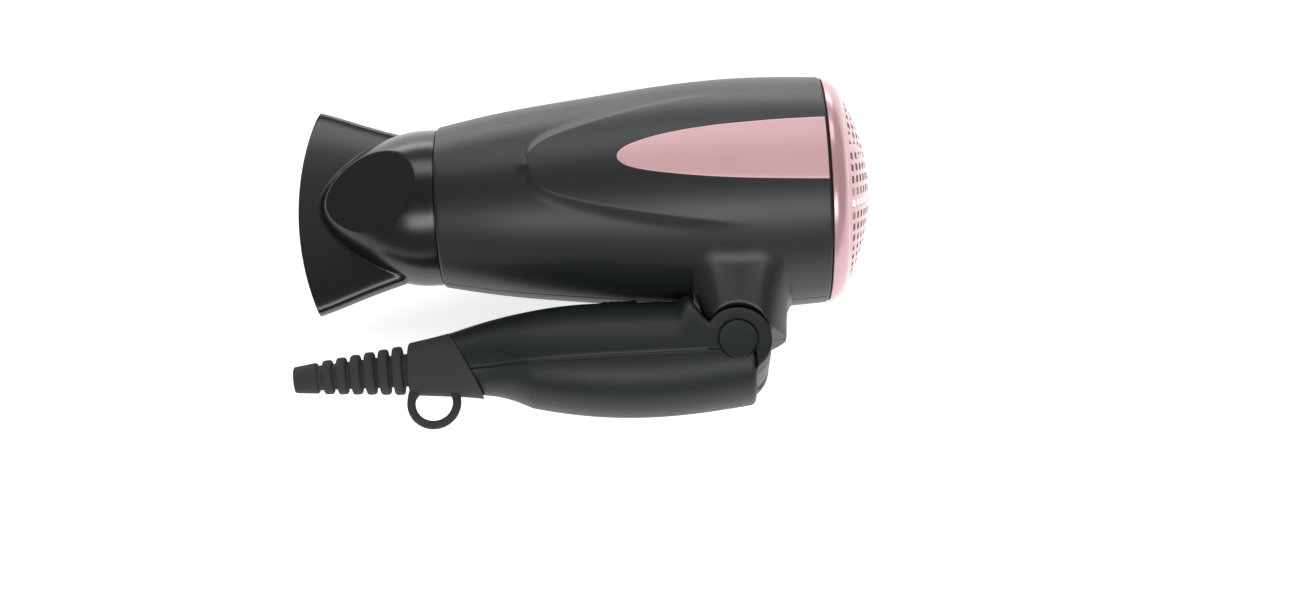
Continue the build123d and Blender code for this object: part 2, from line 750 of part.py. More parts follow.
with BuildPart() as handle_front_shell:
    add(handle.part)
    split(bisect_by=parting, keep=Keep.TOP)
    # pad that carries the switch, towers for the screws
    with BuildSketch(level(SWITCH_TOP_V, SWITCH_U)):
        Rectangle(24.0, 15.0)
    extrude(amount=RECESS_V - SWITCH_TOP_V)
    for u, top, foot, seat in HANDLE_SCREWS:
        with BuildSketch(level(PARTING_V, u)):
            Circle(TOWER_R)
            Circle(SCREW_R, mode=Mode.SUBTRACT)
        extrude(amount=top - PARTING_V)
    # shallow recess and slot for the slider
    with BuildSketch(level(RECESS_V, SWITCH_U + SWITCH_TRAVEL / 2)):
        Rectangle(PAD_LENGTH + SWITCH_TRAVEL + 1.6, 2 * PAD_HALF + 1.2)
    extrude(amount=10, mode=Mode.SUBTRACT)
    with BuildSketch(level(SWITCH_TOP_V - 1.0, SWITCH_U + SWITCH_TRAVEL / 2)):
        Rectangle(STEM_LENGTH + SWITCH_TRAVEL + 0.8, 3.2)
    extrude(amount=10, mode=Mode.SUBTRACT)
handle_front_shell.part.label = "handle_front_shell"
export_step(handle_front_shell.part, "parts/handle_front_shell.step")

with BuildPart() as handle_back_shell:
    add(handle.part)
    split(bisect_by=parting, keep=Keep.BOTTOM)
    for u, top, foot, seat in HANDLE_SCREWS:
        with BuildSketch(level(PARTING_V, u)):
            Circle(TOWER_R)
        extrude(amount=foot - PARTING_V)
        with BuildSketch(level(PARTING_V, u)):
            Circle(SCREW_R)
        extrude(amount=-30, mode=Mode.SUBTRACT)
        with BuildSketch(level(seat, u)):
            Circle(SCREW_HEAD_R)
        extrude(amount=-30, mode=Mode.SUBTRACT)
handle_back_shell.part.label = "handle_back_shell"
export_step(handle_back_shell.part, "parts/handle_back_shell.step")

with BuildPart() as handle_screws:
    for u, top, foot, seat in HANDLE_SCREWS:
        with BuildSketch(level(seat - SCREW_HEAD_HEIGHT, u)):
            Circle(SCREW_HEAD_R)
        extrude(amount=SCREW_HEAD_HEIGHT)
        with BuildSketch(level(seat, u)):
            Circle(SCREW_R)
        extrude(amount=PARTING_V - seat + 8.0)
handle_screws.part.label = "handle_screws"
export_step(handle_screws.part, "parts/handle_screws.step")

# ----------------------------------------------------------------------- switch

with BuildPart() as switch_body:
    with BuildSketch(level(SWITCH_TOP_V, SWITCH_U + SWITCH_TRAVEL / 2 - 4.0)):
        Rectangle(24.0, 13.0)
    extrude(amount=-8.0)
    with BuildSketch(level(SWITCH_TOP_V, SWITCH_U + SWITCH_TRAVEL / 2)):
        Rectangle(STEM_LENGTH + SWITCH_TRAVEL + 0.8, 3.2)
    extrude(amount=-4.0, mode=Mode.SUBTRACT)
switch_body.part.label = "switch_body"
export_step(switch_body.part, "parts/switch_body.step")

with BuildPart() as switch_slider:
    with BuildSketch(level(RECESS_V + 0.3, SWITCH_U)):
        RectangleRounded(PAD_LENGTH, 2 * PAD_HALF, 1.2)
    extrude(amount=PAD_TOP_V - 0.4 - RECESS_V - 0.3)
    with BuildSketch(level(PAD_TOP_V - 0.4, SWITCH_U)):
        with GridLocations(2.2, 0, 5, 1):
            Rectangle(1.0, 2 * PAD_HALF - 1.0)
    extrude(amount=0.4)
    with BuildSketch(level(RECESS_V + 0.3, SWITCH_U)):
        Rectangle(STEM_LENGTH, 2.4)
    extrude(amount=-6.0)
switch_slider.part.label = "switch_slider"
export_step(switch_slider.part, "parts/switch_slider.step")

handle_leads = lead_pair([(CLAMP_U, -54.0), (-64.0, -54.0), (-56.0, -46.0), (-49.0, -46.0)], LEAD_W, 1.0, 5.0)
handle_leads.part.label = "handle_leads"
export_step(handle_leads.part, "parts/handle_leads.step")

hinge_leads = lead_pair([(-25.0, -46.0), (-19.5, -46.0), (-17.0, -52.0), (-13.2, -53.4)], LEAD_W, 0.9, 2.0)
hinge_leads.part.label = "hinge_leads"
export_step(hinge_leads.part, "parts/hinge_leads.step")

with BuildPart() as cord_clamp:
    with BuildSketch(across(CLAMP_U, -54.0)):
        Rectangle(7.0, 14.0)
        with Locations((0, LEAD_W), (0, -LEAD_W)):
            Circle(1.0, mode=Mode.SUBTRACT)
    extrude(amount=4.0)
cord_clamp.part.label = "cord_clamp"
export_step(cord_clamp.part, "parts/cord_clamp.step")

# ======================================================================= cord end

relief_tilt = atan2(ROOT_V - TIP_V, ROOT_U - TIP_U)
relief_way = (cos(relief_tilt), sin(relief_tilt), 0)


def along_relief(distance):
    """Plane square to the strain relief, at a distance from its tip towards the handle."""
    return Plane(
        origin=(
            DATUM_X + TIP_U + distance * relief_way[0],
            AXIS_Y + TIP_V + distance * relief_way[1],
            AXIS_Z,
        ),
        x_dir=(0, 0, 1),
        z_dir=relief_way,
    )


with BuildPart() as strain_relief:
    with BuildSketch(along_relief(0)):
        Circle(4.15)
    with BuildSketch(along_relief(TIP_SLEEVE)):
        Circle(4.95)
    loft()
    with BuildSketch(along_relief(TIP_SLEEVE)):
        Circle(4.5)
    extrude(amount=RELIEF_LENGTH - TIP_SLEEVE)
    for rib in range(RIB_COUNT):
        with BuildSketch(along_relief(RIB_FIRST + rib * RIB_PITCH - RIB_WIDTH / 2)):
            Circle(RIB_FIRST_R + (RIB_LAST_R - RIB_FIRST_R) * rib / (RIB_COUNT - 1))
        extrude(amount=RIB_WIDTH)
    with BuildSketch(along_relief(FLANGE_AT)):
        Circle(FLANGE_R)
    extrude(amount=2.0)
    with BuildSketch(along_relief(-1)):
        Circle(CORD_R)
    extrude(amount=60, mode=Mode.SUBTRACT)
strain_relief.part.label = "strain_relief"
export_step(strain_relief.part, "parts/strain_relief.step")

with BuildPart() as handle_end_cap:
    add(grip_outside.part)
    split(bisect_by=seam_plane, keep=Keep.BOTTOM)
    with BuildSketch(across(-93.0, -53.2)):
        Circle(TONGUE_R)
    extrude(amount=13.0)
    with BuildSketch(middle):
        with Locations((LOOP_U, LOOP_V)):
            Ellipse(8.1, 8.3)
            Ellipse(6.2, 5.9, mode=Mode.SUBTRACT)
    extrude(amount=1.3, both=True)
    with BuildSketch(across(-98.0, -53.6)):
        Circle(5.2)
    extrude(amount=30.0, mode=Mode.SUBTRACT)
    with BuildSketch(along_relief(FLANGE_AT)):
        Circle(FLANGE_R)
    extrude(amount=8.0, mode=Mode.SUBTRACT)
    with BuildSketch(along_relief(20)):
        Circle(4.5)
    extrude(amount=30, mode=Mode.SUBTRACT)
handle_end_cap.part.label = "handle_end_cap"
export_step(handle_end_cap.part, "parts/handle_end_cap.step")
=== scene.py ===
"""Looks of the folding travel hair dryer: moulded shells, nozzle, trim, rubber cord end and their finishes.

Lengths in this script's formulas are millimetres on the dryer's middle plane: u runs along the
barrel axis from a datum over the hinge, v runs up from the barrel axis and w runs along the
hinge. place() turns them into the frame's metres.
"""
import json
import logging
from dataclasses import dataclass, field
from enum import Enum
from math import cos, pi, radians, sin

import bmesh
import bpy
import numpy as np
from mathutils import Matrix, Vector


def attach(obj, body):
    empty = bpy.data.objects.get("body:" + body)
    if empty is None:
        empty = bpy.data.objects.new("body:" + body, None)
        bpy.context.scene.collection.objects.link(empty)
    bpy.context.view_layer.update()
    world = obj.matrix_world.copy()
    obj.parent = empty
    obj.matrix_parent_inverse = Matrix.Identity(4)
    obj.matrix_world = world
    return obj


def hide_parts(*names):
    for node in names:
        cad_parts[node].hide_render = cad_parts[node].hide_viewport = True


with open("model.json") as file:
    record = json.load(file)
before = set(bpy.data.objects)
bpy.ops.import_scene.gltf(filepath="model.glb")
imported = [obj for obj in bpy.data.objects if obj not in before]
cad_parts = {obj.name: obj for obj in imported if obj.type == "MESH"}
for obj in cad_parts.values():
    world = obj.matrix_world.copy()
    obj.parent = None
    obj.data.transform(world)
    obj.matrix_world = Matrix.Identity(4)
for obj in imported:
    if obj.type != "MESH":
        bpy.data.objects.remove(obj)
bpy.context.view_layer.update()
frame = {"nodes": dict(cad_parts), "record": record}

LOG = logging.getLogger("dryer")
MM = 0.001
DATUM = np.array([47.35, 18.25, 37.3])
HINGE_U, HINGE_V = -0.6, -54.5
REAR_U = 30.3
FRONT_U = -92.8
Array = np.ndarray


class Side(Enum):
    """The two mirrored sides of the dryer, by the sign of w."""

    LEFT = 1.0
    RIGHT = -1.0


# ---------- numeric helpers


def circle(count: int) -> Array:
    """Angles of a full turn in equal steps, without the closing one."""
    return np.linspace(0, 2 * pi, count, endpoint=False)


def bell(at: Array, middle: float, width: float) -> Array:
    """Bell curve of height 1: the exponential of minus the square of the distance over the width."""
    return np.exp(-(((at - middle) / width) ** 2))


def quads(index: Array) -> list[list[int]]:
    """Corners of the quads between each row of a grid of point numbers and the next."""
    corners = [index[:-1, :-1], index[:-1, 1:], index[1:, 1:], index[1:, :-1]]
    return np.stack(corners, axis=-1).reshape(-1, 4).tolist()


def through(at: Array, stations: list[tuple[float, float]]) -> Array:
    """Value at each position of the natural cubic curve through the stations.

    Args:
        at: positions along the curve's first axis.
        stations: (position, value) pairs in rising order.

    Returns:
        The curve's value at each position, held constant past both ends.
    """
    xs, ys = np.array(stations, float).T
    gap = np.diff(xs)
    slope = np.diff(ys) / gap
    count = len(xs)
    system = np.eye(count)
    right = np.zeros(count)
    inner = np.arange(1, count - 1)
    system[inner, inner - 1] = gap[:-1]
    system[inner, inner] = 2 * (gap[:-1] + gap[1:])
    system[inner, inner + 1] = gap[1:]
    right[inner] = 6 * np.diff(slope)
    bend = np.linalg.solve(system, right)
    x = np.clip(at, xs[0], xs[-1])
    i = np.clip(np.searchsorted(xs, x, side="right") - 1, 0, count - 2)
    t = x - xs[i]
    return (
        ys[i]
        + t * (slope[i] - gap[i] * (2 * bend[i] + bend[i + 1]) / 6)
        + t**2 * bend[i] / 2
        + t**3 * (bend[i + 1] - bend[i]) / (6 * gap[i])
    )


def soft_min(a: Array, b: Array, width: float | Array) -> Array:
    """Smaller of two heights, with the crease between them rounded over the width."""
    blend = np.clip(0.5 + 0.5 * (b - a) / width, 0, 1)
    return b + (a - b) * blend - width * blend * (1 - blend)


def soft_max(a: Array, b: Array, width: float) -> Array:
    """Larger of two heights, with the crease between them rounded over the width."""
    return -soft_min(-a, -b, width)


def ease(t: Array) -> Array:
    """Smooth step from 0 to 1 with flat ends."""
    t = np.clip(t, 0, 1)
    return t * t * (3 - 2 * t)


def spread(*runs: tuple[float, float, float]) -> Array:
    """Positions that cover several runs, each given as start, end and step."""
    parts = [np.linspace(a, b, max(2, round(abs(b - a) / step) + 1)) for a, b, step in runs]
    return np.unique(np.round(np.concatenate(parts), 5))


def place(u: Array, v: Array, w: Array) -> Array:
    """Points in the frame's metres from lengths on the middle plane."""
    u, v, w = np.broadcast_arrays(u, v, w)
    return (np.stack([u, v, w], axis=-1) + DATUM) * MM


# ---------- surfaces and meshes


@dataclass
class Surface:
    """Corner points and faces gathered from one or more grids.

    Attributes:
        points: one row for each corner.
        faces: index lists into the points.
        count: number of points so far.
    """

    points: list[Array] = field(default_factory=list)
    faces: list[list[int]] = field(default_factory=list)
    count: int = 0

    def grid(self, points: Array, wrap_rows: bool = False, wrap_columns: bool = False,
             lids: bool = False) -> "Surface":
        """Add a grid of points as quads between each row and the next.

        Args:
            points: array of rows by columns by 3.
            wrap_rows: joins the last row to the first.
            wrap_columns: joins the last column to the first.
            lids: closes the first and last row with one face each.

        Returns:
            This surface.
        """
        rows, columns = points.shape[:2]
        index = np.arange(rows * columns).reshape(rows, columns) + self.count
        if wrap_rows:
            index = np.vstack([index, index[:1]])
        if wrap_columns:
            index = np.hstack([index, index[:, :1]])
        self.points.append(points.reshape(-1, 3))
        self.faces += quads(index)
        if lids:
            self.faces.append(index[0, :columns].tolist())
            self.faces.append(index[-1, :columns][::-1].tolist())
        self.count += rows * columns
        return self

    def tube(self, points: Array) -> "Surface":
        """Add a grid that wraps round and is closed with one face at each end."""
        return self.grid(points, wrap_columns=True, lids=True)

    def torus(self, points: Array) -> "Surface":
        """Add a grid that wraps round both ways."""
        return self.grid(points, wrap_rows=True, wrap_columns=True)

    def shell(self, outer: Array, inner: Array) -> "Surface":
        """Add two matching open grids and the strips that close the wall between their edges.

        Args:
            outer: outer skin, rows by columns by 3.
            inner: inner skin of the same size.

        Returns:
            This surface.
        """
        rows, columns = outer.shape[:2]
        out = np.arange(rows * columns).reshape(rows, columns) + self.count
        ins = out + rows * columns
        self.faces += quads(out) + quads(ins[::-1])
        for a, b in ((out[0], ins[0]), (ins[-1], out[-1]), (ins[:, 0], out[:, 0]), (out[:, -1], ins[:, -1])):
            self.faces += quads(np.stack([a, b], axis=1))
        self.points += [outer.reshape(-1, 3), inner.reshape(-1, 3)]
        self.count += 2 * rows * columns
        return self

    def lathe(self, profile: list[tuple[float, float]], sides: int, closed: bool = True,
              axis_from: tuple[float, float] = (0.0, 0.0), tilt: float = 0.0) -> "Surface":
        """Turn a profile of (distance along, radius) round an axis in the middle plane.

        Args:
            profile: points along the outline; radii of 0 become a small closed lid.
            sides: faces round the axis.
            closed: joins the last profile point to the first.
            axis_from: (u, v) of the point that distance 0 stands for.
            tilt: angle of the axis above +u, in radians.

        Returns:
            This surface.
        """
        along, radius = np.array(profile, float).T[:, :, None]
        turn = circle(sides)[None, :]
        lift = radius * np.cos(turn)
        u = axis_from[0] + along * cos(tilt) - lift * sin(tilt)
        v = axis_from[1] + along * sin(tilt) + lift * cos(tilt)
        return self.grid(place(u, v, radius * np.sin(turn)), wrap_rows=closed, wrap_columns=True,
                         lids=not closed)

    def build(self, name: str, sharp: float = 32.0) -> bpy.types.Object:
        """Make the mesh object, with outward normals and smooth shading below the sharp angle.

        Args:
            name: the object's name.
            sharp: edges that turn by more than this many degrees stay crisp.

        Returns:
            The new object.
        """
        mesh = bpy.data.meshes.new(name)
        mesh.from_pydata(np.concatenate(self.points).tolist(), [], self.faces)
        work = bmesh.new()
        work.from_mesh(mesh)
        bmesh.ops.remove_doubles(work, verts=work.verts, dist=5e-7)
        bmesh.ops.recalc_face_normals(work, faces=work.faces)
        work.to_mesh(mesh)
        work.free()
        mesh.shade_smooth()
        mesh.set_sharp_from_angle(angle=radians(sharp))
        piece = bpy.data.objects.new(name, mesh)
        bpy.context.scene.collection.objects.link(piece)
        return piece


class Change(Enum):
    """Ways in which a tool's solid changes a piece."""

    CUT = "DIFFERENCE"
    JOIN = "UNION"


class Solver(Enum):
    """Settings of the solver for changes: its name, and whether it puts up with small holes."""

    EXACT = ("EXACT", False)
    TOLERANT = ("EXACT", True)
    FAST = ("FAST", False)


def volume(mesh: bpy.types.Mesh) -> float:
    """Volume inside a closed mesh, in cubic millimetres."""
    work = bmesh.new()
    work.from_mesh(mesh)
    inside = work.calc_volume(signed=True) / MM**3
    work.free()
    return inside


def span(mesh: bpy.types.Mesh) -> Array:
    """Box of a mesh as its low corner and its negated high corner, in millimetres."""
    flat = np.zeros(3 * len(mesh.vertices), np.float32)
    mesh.vertices.foreach_get("co", flat)
    points = flat.reshape(-1, 3) / MM
    return np.concatenate([points.min(axis=0), -points.max(axis=0)])


def cut(piece: bpy.types.Object, tool: Surface, change_by: Change = Change.CUT,
        sharp: float = 34.0) -> None:
    """Take a tool's closed solid away from a piece, or join it on, and delete the tool.

    A result counts only if a cut makes the piece smaller and a join makes it larger, by no more
    than the tool's volume, and a cut leaves the piece inside its old box; otherwise the next
    solver is tried.

    Args:
        piece: the object to change.
        tool: the closed solid.
        change_by: whether the tool cuts or is joined.
        sharp: edges that turn by more than this many degrees stay crisp.
    """
    knife = tool.build("knife")
    sign = 1 if change_by is Change.JOIN else -1
    before, most = volume(piece.data), abs(volume(knife.data)) * 1.02 + 1
    change = piece.modifiers.new("change", "BOOLEAN")
    change.operation = change_by.value
    change.object = knife
    for solver in Solver:
        change.solver, change.use_hole_tolerant = solver.value
        graph = bpy.context.evaluated_depsgraph_get()
        mesh = bpy.data.meshes.new_from_object(piece.evaluated_get(graph))
        gain = sign * (volume(mesh) - before)
        LOG.info("%s %s by %s: %.1f", piece.name, change_by.name, solver.name, gain)
        inside = change_by is Change.JOIN or np.all(span(mesh) > span(piece.data) - 0.01)
        if -1 < gain < most and inside:
            break
        bpy.data.meshes.remove(mesh)
    else:
        raise RuntimeError(f"no solver could change {piece.name}")
    piece.modifiers.clear()
    old, piece.data = piece.data, mesh
    bpy.data.meshes.remove(old)
    bpy.data.objects.remove(knife)
    mesh.name = piece.name
    mesh.shade_smooth()
    mesh.set_sharp_from_angle(angle=radians(sharp))


def disc_tool(radius: float, low: float, high: float, u: float = HINGE_U,
              v: float = HINGE_V) -> Surface:
    """Solid cylinder along the hinge direction, from one w to another, as a cutting tool."""
    turn = circle(160)[None, :]
    w = np.array([[low], [high]])
    return Surface().tube(place(u + radius * np.cos(turn), v + radius * np.sin(turn), w))


def box_tool(low: tuple[float, float, float], high: tuple[float, float, float]) -> Surface:
    """Solid box between two corners, as a cutting tool."""
    u = np.array([low[0], high[0], high[0], low[0]])[None, :]
    v = np.array([low[1], low[1], high[1], high[1]])[None, :]
    return Surface().tube(place(u, v, np.array([[low[2]], [high[2]]])))


# ---------- finishes


def set_inputs(node: bpy.types.Node, **values: float | tuple[float, ...]) -> None:
    """Give a node's inputs their values; an underscore stands for a blank in an input's name."""
    for name, value in values.items():
        node.inputs[name.replace("_", " ")].default_value = value


def shader_group(name: str, numbers: tuple[str, ...], results: tuple[str, ...]) -> tuple:
    """New shader group with a Vector input, named number inputs and named number outputs.

    Args:
        name: the group's name.
        numbers: names of the inputs after Vector.
        results: names of the outputs.

    Returns:
        The group, its input node and its output node.
    """
    group = bpy.data.node_groups.new(name, "ShaderNodeTree")
    group.interface.new_socket("Vector", in_out="INPUT", socket_type="NodeSocketVector")
    for way, sockets in (("INPUT", numbers), ("OUTPUT", results)):
        for socket in sockets:
            group.interface.new_socket(socket, in_out=way, socket_type="NodeSocketFloat")
    return group, group.nodes.new("NodeGroupInput"), group.nodes.new("NodeGroupOutput")


def grain_group() -> bpy.types.NodeTree:
    """Shader group of moulded texture: a height for fine grain and a mask of slow mottling."""
    group, start, end = shader_group("moulded_grain", ("Grain", "Mottle"), ("Height", "Mask"))
    nodes, links = group.nodes, group.links
    fine, slow = nodes.new("ShaderNodeTexNoise"), nodes.new("ShaderNodeTexNoise")
    set_inputs(fine, Detail=3.0)
    set_inputs(slow, Detail=4.0)
    for noise, scale in ((fine, "Grain"), (slow, "Mottle")):
        links.new(start.outputs["Vector"], noise.inputs["Vector"])
        links.new(start.outputs[scale], noise.inputs["Scale"])
    links.new(fine.outputs["Fac"], end.inputs["Height"])
    links.new(slow.outputs["Fac"], end.inputs["Mask"])
    return group


def scuff_group() -> bpy.types.NodeTree:
    """Shader group of faint handling marks: a mask of thin stretched streaks."""
    group, start, end = shader_group("handling_scuffs", ("Amount",), ("Mask",))
    nodes, links = group.nodes, group.links
    stretch, noise = nodes.new("ShaderNodeMapping"), nodes.new("ShaderNodeTexNoise")
    ramp, scale = nodes.new("ShaderNodeValToRGB"), nodes.new("ShaderNodeMath")
    set_inputs(stretch, Scale=(60.0, 420.0, 420.0), Rotation=(0.3, 0.2, 0.5))
    set_inputs(noise, Scale=1.0, Detail=5.0)
    ramp.color_ramp.elements[0].position = 0.60
    ramp.color_ramp.elements[1].position = 0.74
    scale.operation = "MULTIPLY"
    links.new(start.outputs["Vector"], stretch.inputs["Vector"])
    links.new(stretch.outputs["Vector"], noise.inputs["Vector"])
    links.new(noise.outputs["Fac"], ramp.inputs["Fac"])
    links.new(ramp.outputs["Color"], scale.inputs[0])
    links.new(start.outputs["Amount"], scale.inputs[1])
    links.new(scale.outputs["Value"], end.inputs["Mask"])
    return group


@dataclass(frozen=True)
class Finish:
    """A procedural surface finish.

    Attributes:
        name: name of the material.
        colour: base colour, linear.
        second: colour that the slow mottling drifts towards.
        roughness: roughness of the clean surface.
        swing: how much the mottling changes the roughness.
        metallic: 0 for plastic, 1 for metal.
        coat: weight of a clear coat.
        coat_roughness: roughness of that coat.
        grain: scale of the fine grain.
        depth: height of the fine grain in metres.
        mottle: scale of the slow mottling.
        scuffs: strength of the handling marks.
        specular: strength of the dielectric reflection.
    """

    name: str
    colour: tuple[float, float, float]
    second: tuple[float, float, float]
    roughness: float
    swing: float = 0.05
    metallic: float = 0.0
    coat: float = 0.0
    coat_roughness: float = 0.05
    grain: float = 2500.0
    depth: float = 0.00002
    mottle: float = 45.0
    scuffs: float = 0.0
    specular: float = 0.5

    def material(self) -> bpy.types.Material:
        """The finish as a material, made once."""
        made = bpy.data.materials.get(self.name)
        if made is not None:
            return made
        made = bpy.data.materials.new(self.name)
        made.use_nodes = True
        nodes, links = made.node_tree.nodes, made.node_tree.links
        shader = nodes["Principled BSDF"]
        set_inputs(shader, Metallic=self.metallic, Coat_Weight=self.coat, Coat_Roughness=self.coat_roughness,
                   Specular_IOR_Level=self.specular)
        where = nodes.new("ShaderNodeTexCoord")
        grain, scuff = nodes.new("ShaderNodeGroup"), nodes.new("ShaderNodeGroup")
        grain.node_tree = bpy.data.node_groups.get("moulded_grain") or grain_group()
        scuff.node_tree = bpy.data.node_groups.get("handling_scuffs") or scuff_group()
        set_inputs(grain, Grain=self.grain, Mottle=self.mottle)
        set_inputs(scuff, Amount=self.scuffs)
        for group in (grain, scuff):
            links.new(where.outputs["Object"], group.inputs["Vector"])
        tint = nodes.new("ShaderNodeMix")
        tint.data_type = "RGBA"
        set_inputs(tint, A=(*self.colour, 1), B=(*self.second, 1))
        links.new(grain.outputs["Mask"], tint.inputs["Factor"])
        links.new(tint.outputs["Result"], shader.inputs["Base Color"])
        rough = nodes.new("ShaderNodeMapRange")
        set_inputs(rough, From_Min=0.3, From_Max=0.7, To_Min=self.roughness - self.swing,
                   To_Max=self.roughness + self.swing)
        links.new(grain.outputs["Mask"], rough.inputs["Value"])
        worn = nodes.new("ShaderNodeMath")
        worn.operation = "ADD"
        links.new(rough.outputs["Result"], worn.inputs[0])
        links.new(scuff.outputs["Mask"], worn.inputs[1])
        links.new(worn.outputs["Value"], shader.inputs["Roughness"])
        bump = nodes.new("ShaderNodeBump")
        set_inputs(bump, Distance=self.depth, Strength=0.6)
        links.new(grain.outputs["Height"], bump.inputs["Height"])
        links.new(bump.outputs["Normal"], shader.inputs["Normal"])
        return made


SOFT_TOUCH = Finish("soft_touch_black", (0.0095, 0.0120, 0.0130), (0.012, 0.015, 0.016), 0.42, 0.02,
                    grain=5200.0, depth=0.000008, scuffs=0.03)
HANDLE_SATIN = Finish("handle_satin_black", (0.0095, 0.0125, 0.0130), (0.012, 0.0155, 0.016), 0.46, 0.02,
                      grain=5200.0, depth=0.000008, scuffs=0.03, specular=0.33)
SOFT_RUBBER = Finish("soft_rubber", (0.0062, 0.0085, 0.0092), (0.0085, 0.011, 0.012), 0.40, 0.03,
                     grain=4200.0, depth=0.000012, scuffs=0.04)
GLOSS_BLACK = Finish("gloss_black", (0.003, 0.004, 0.0045), (0.004, 0.005, 0.006), 0.045, 0.012,
                     coat=0.3, coat_roughness=0.03, grain=900.0, depth=0.000001, scuffs=0.03)
ROSE_SATIN = Finish("rose_gold_satin", (0.64, 0.375, 0.40), (0.68, 0.41, 0.43), 0.48, 0.03,
                    metallic=0.1, coat=0.1, coat_roughness=0.2, grain=9000.0, depth=0.000006, mottle=30.0)
ROSE_PEARL = Finish("rose_gold_pearl", (0.58, 0.345, 0.37), (0.64, 0.39, 0.41), 0.28, 0.04,
                    metallic=0.35, coat=0.35, coat_roughness=0.12, grain=9000.0, depth=0.000006, mottle=30.0)
ROSE_PLATED = Finish("rose_gold_plated", (0.50, 0.29, 0.31), (0.57, 0.335, 0.355), 0.20, 0.04,
                     metallic=0.6, coat=0.3, coat_roughness=0.1, grain=3000.0, depth=0.000003, mottle=60.0)
# painted shade: a dark sheet that stands for the shade in the groove round the rose gold inlay
PAINTED_GROOVE_SHADE = Finish("painted_groove_shade", (0.008, 0.008, 0.009), (0.012, 0.012, 0.013), 0.6)
STEEL = Finish("zinc_steel", (0.55, 0.55, 0.56), (0.62, 0.61, 0.60), 0.34, 0.06, metallic=1.0,
               grain=2200.0, depth=0.00001, mottle=220.0, scuffs=0.1)
COPPER = Finish("turned_copper", (0.72, 0.36, 0.20), (0.80, 0.44, 0.27), 0.3, 0.06, metallic=1.0)
MICA = Finish("mica_sheet", (0.50, 0.45, 0.34), (0.62, 0.57, 0.46), 0.55, 0.1, grain=500.0, mottle=140.0)
PLASTIC = Finish("moulded_plastic", (0.020, 0.020, 0.021), (0.028, 0.028, 0.029), 0.5, 0.04, mottle=90.0)
GAUZE = Finish("filter_gauze", (0.62, 0.55, 0.55), (0.70, 0.63, 0.63), 0.38, 0.06, metallic=0.5,
               grain=1400.0, depth=0.0002)
LEAD = Finish("lead_cover", (0.10, 0.10, 0.11), (0.14, 0.14, 0.15), 0.45)


def dress(piece: bpy.types.Object, finish: Finish, body: str, slot: str, *nodes: str) -> bpy.types.Object:
    """Give a finished piece its material and body, and hide the nodes that it stands for.

    Args:
        piece: the finished mesh object.
        finish: its surface finish.
        body: the body that carries it.
        slot: the record's material slot; not used.
        *nodes: solid nodes that it replaces.

    Returns:
        The piece.
    """
    piece.data.materials.clear()
    piece.data.materials.append(finish.material())
    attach(piece, body)
    if nodes:
        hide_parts(*nodes)
    LOG.info("%s: %d faces on %s", piece.name, len(piece.data.polygons), body)
    return piece


# ---------- barrel


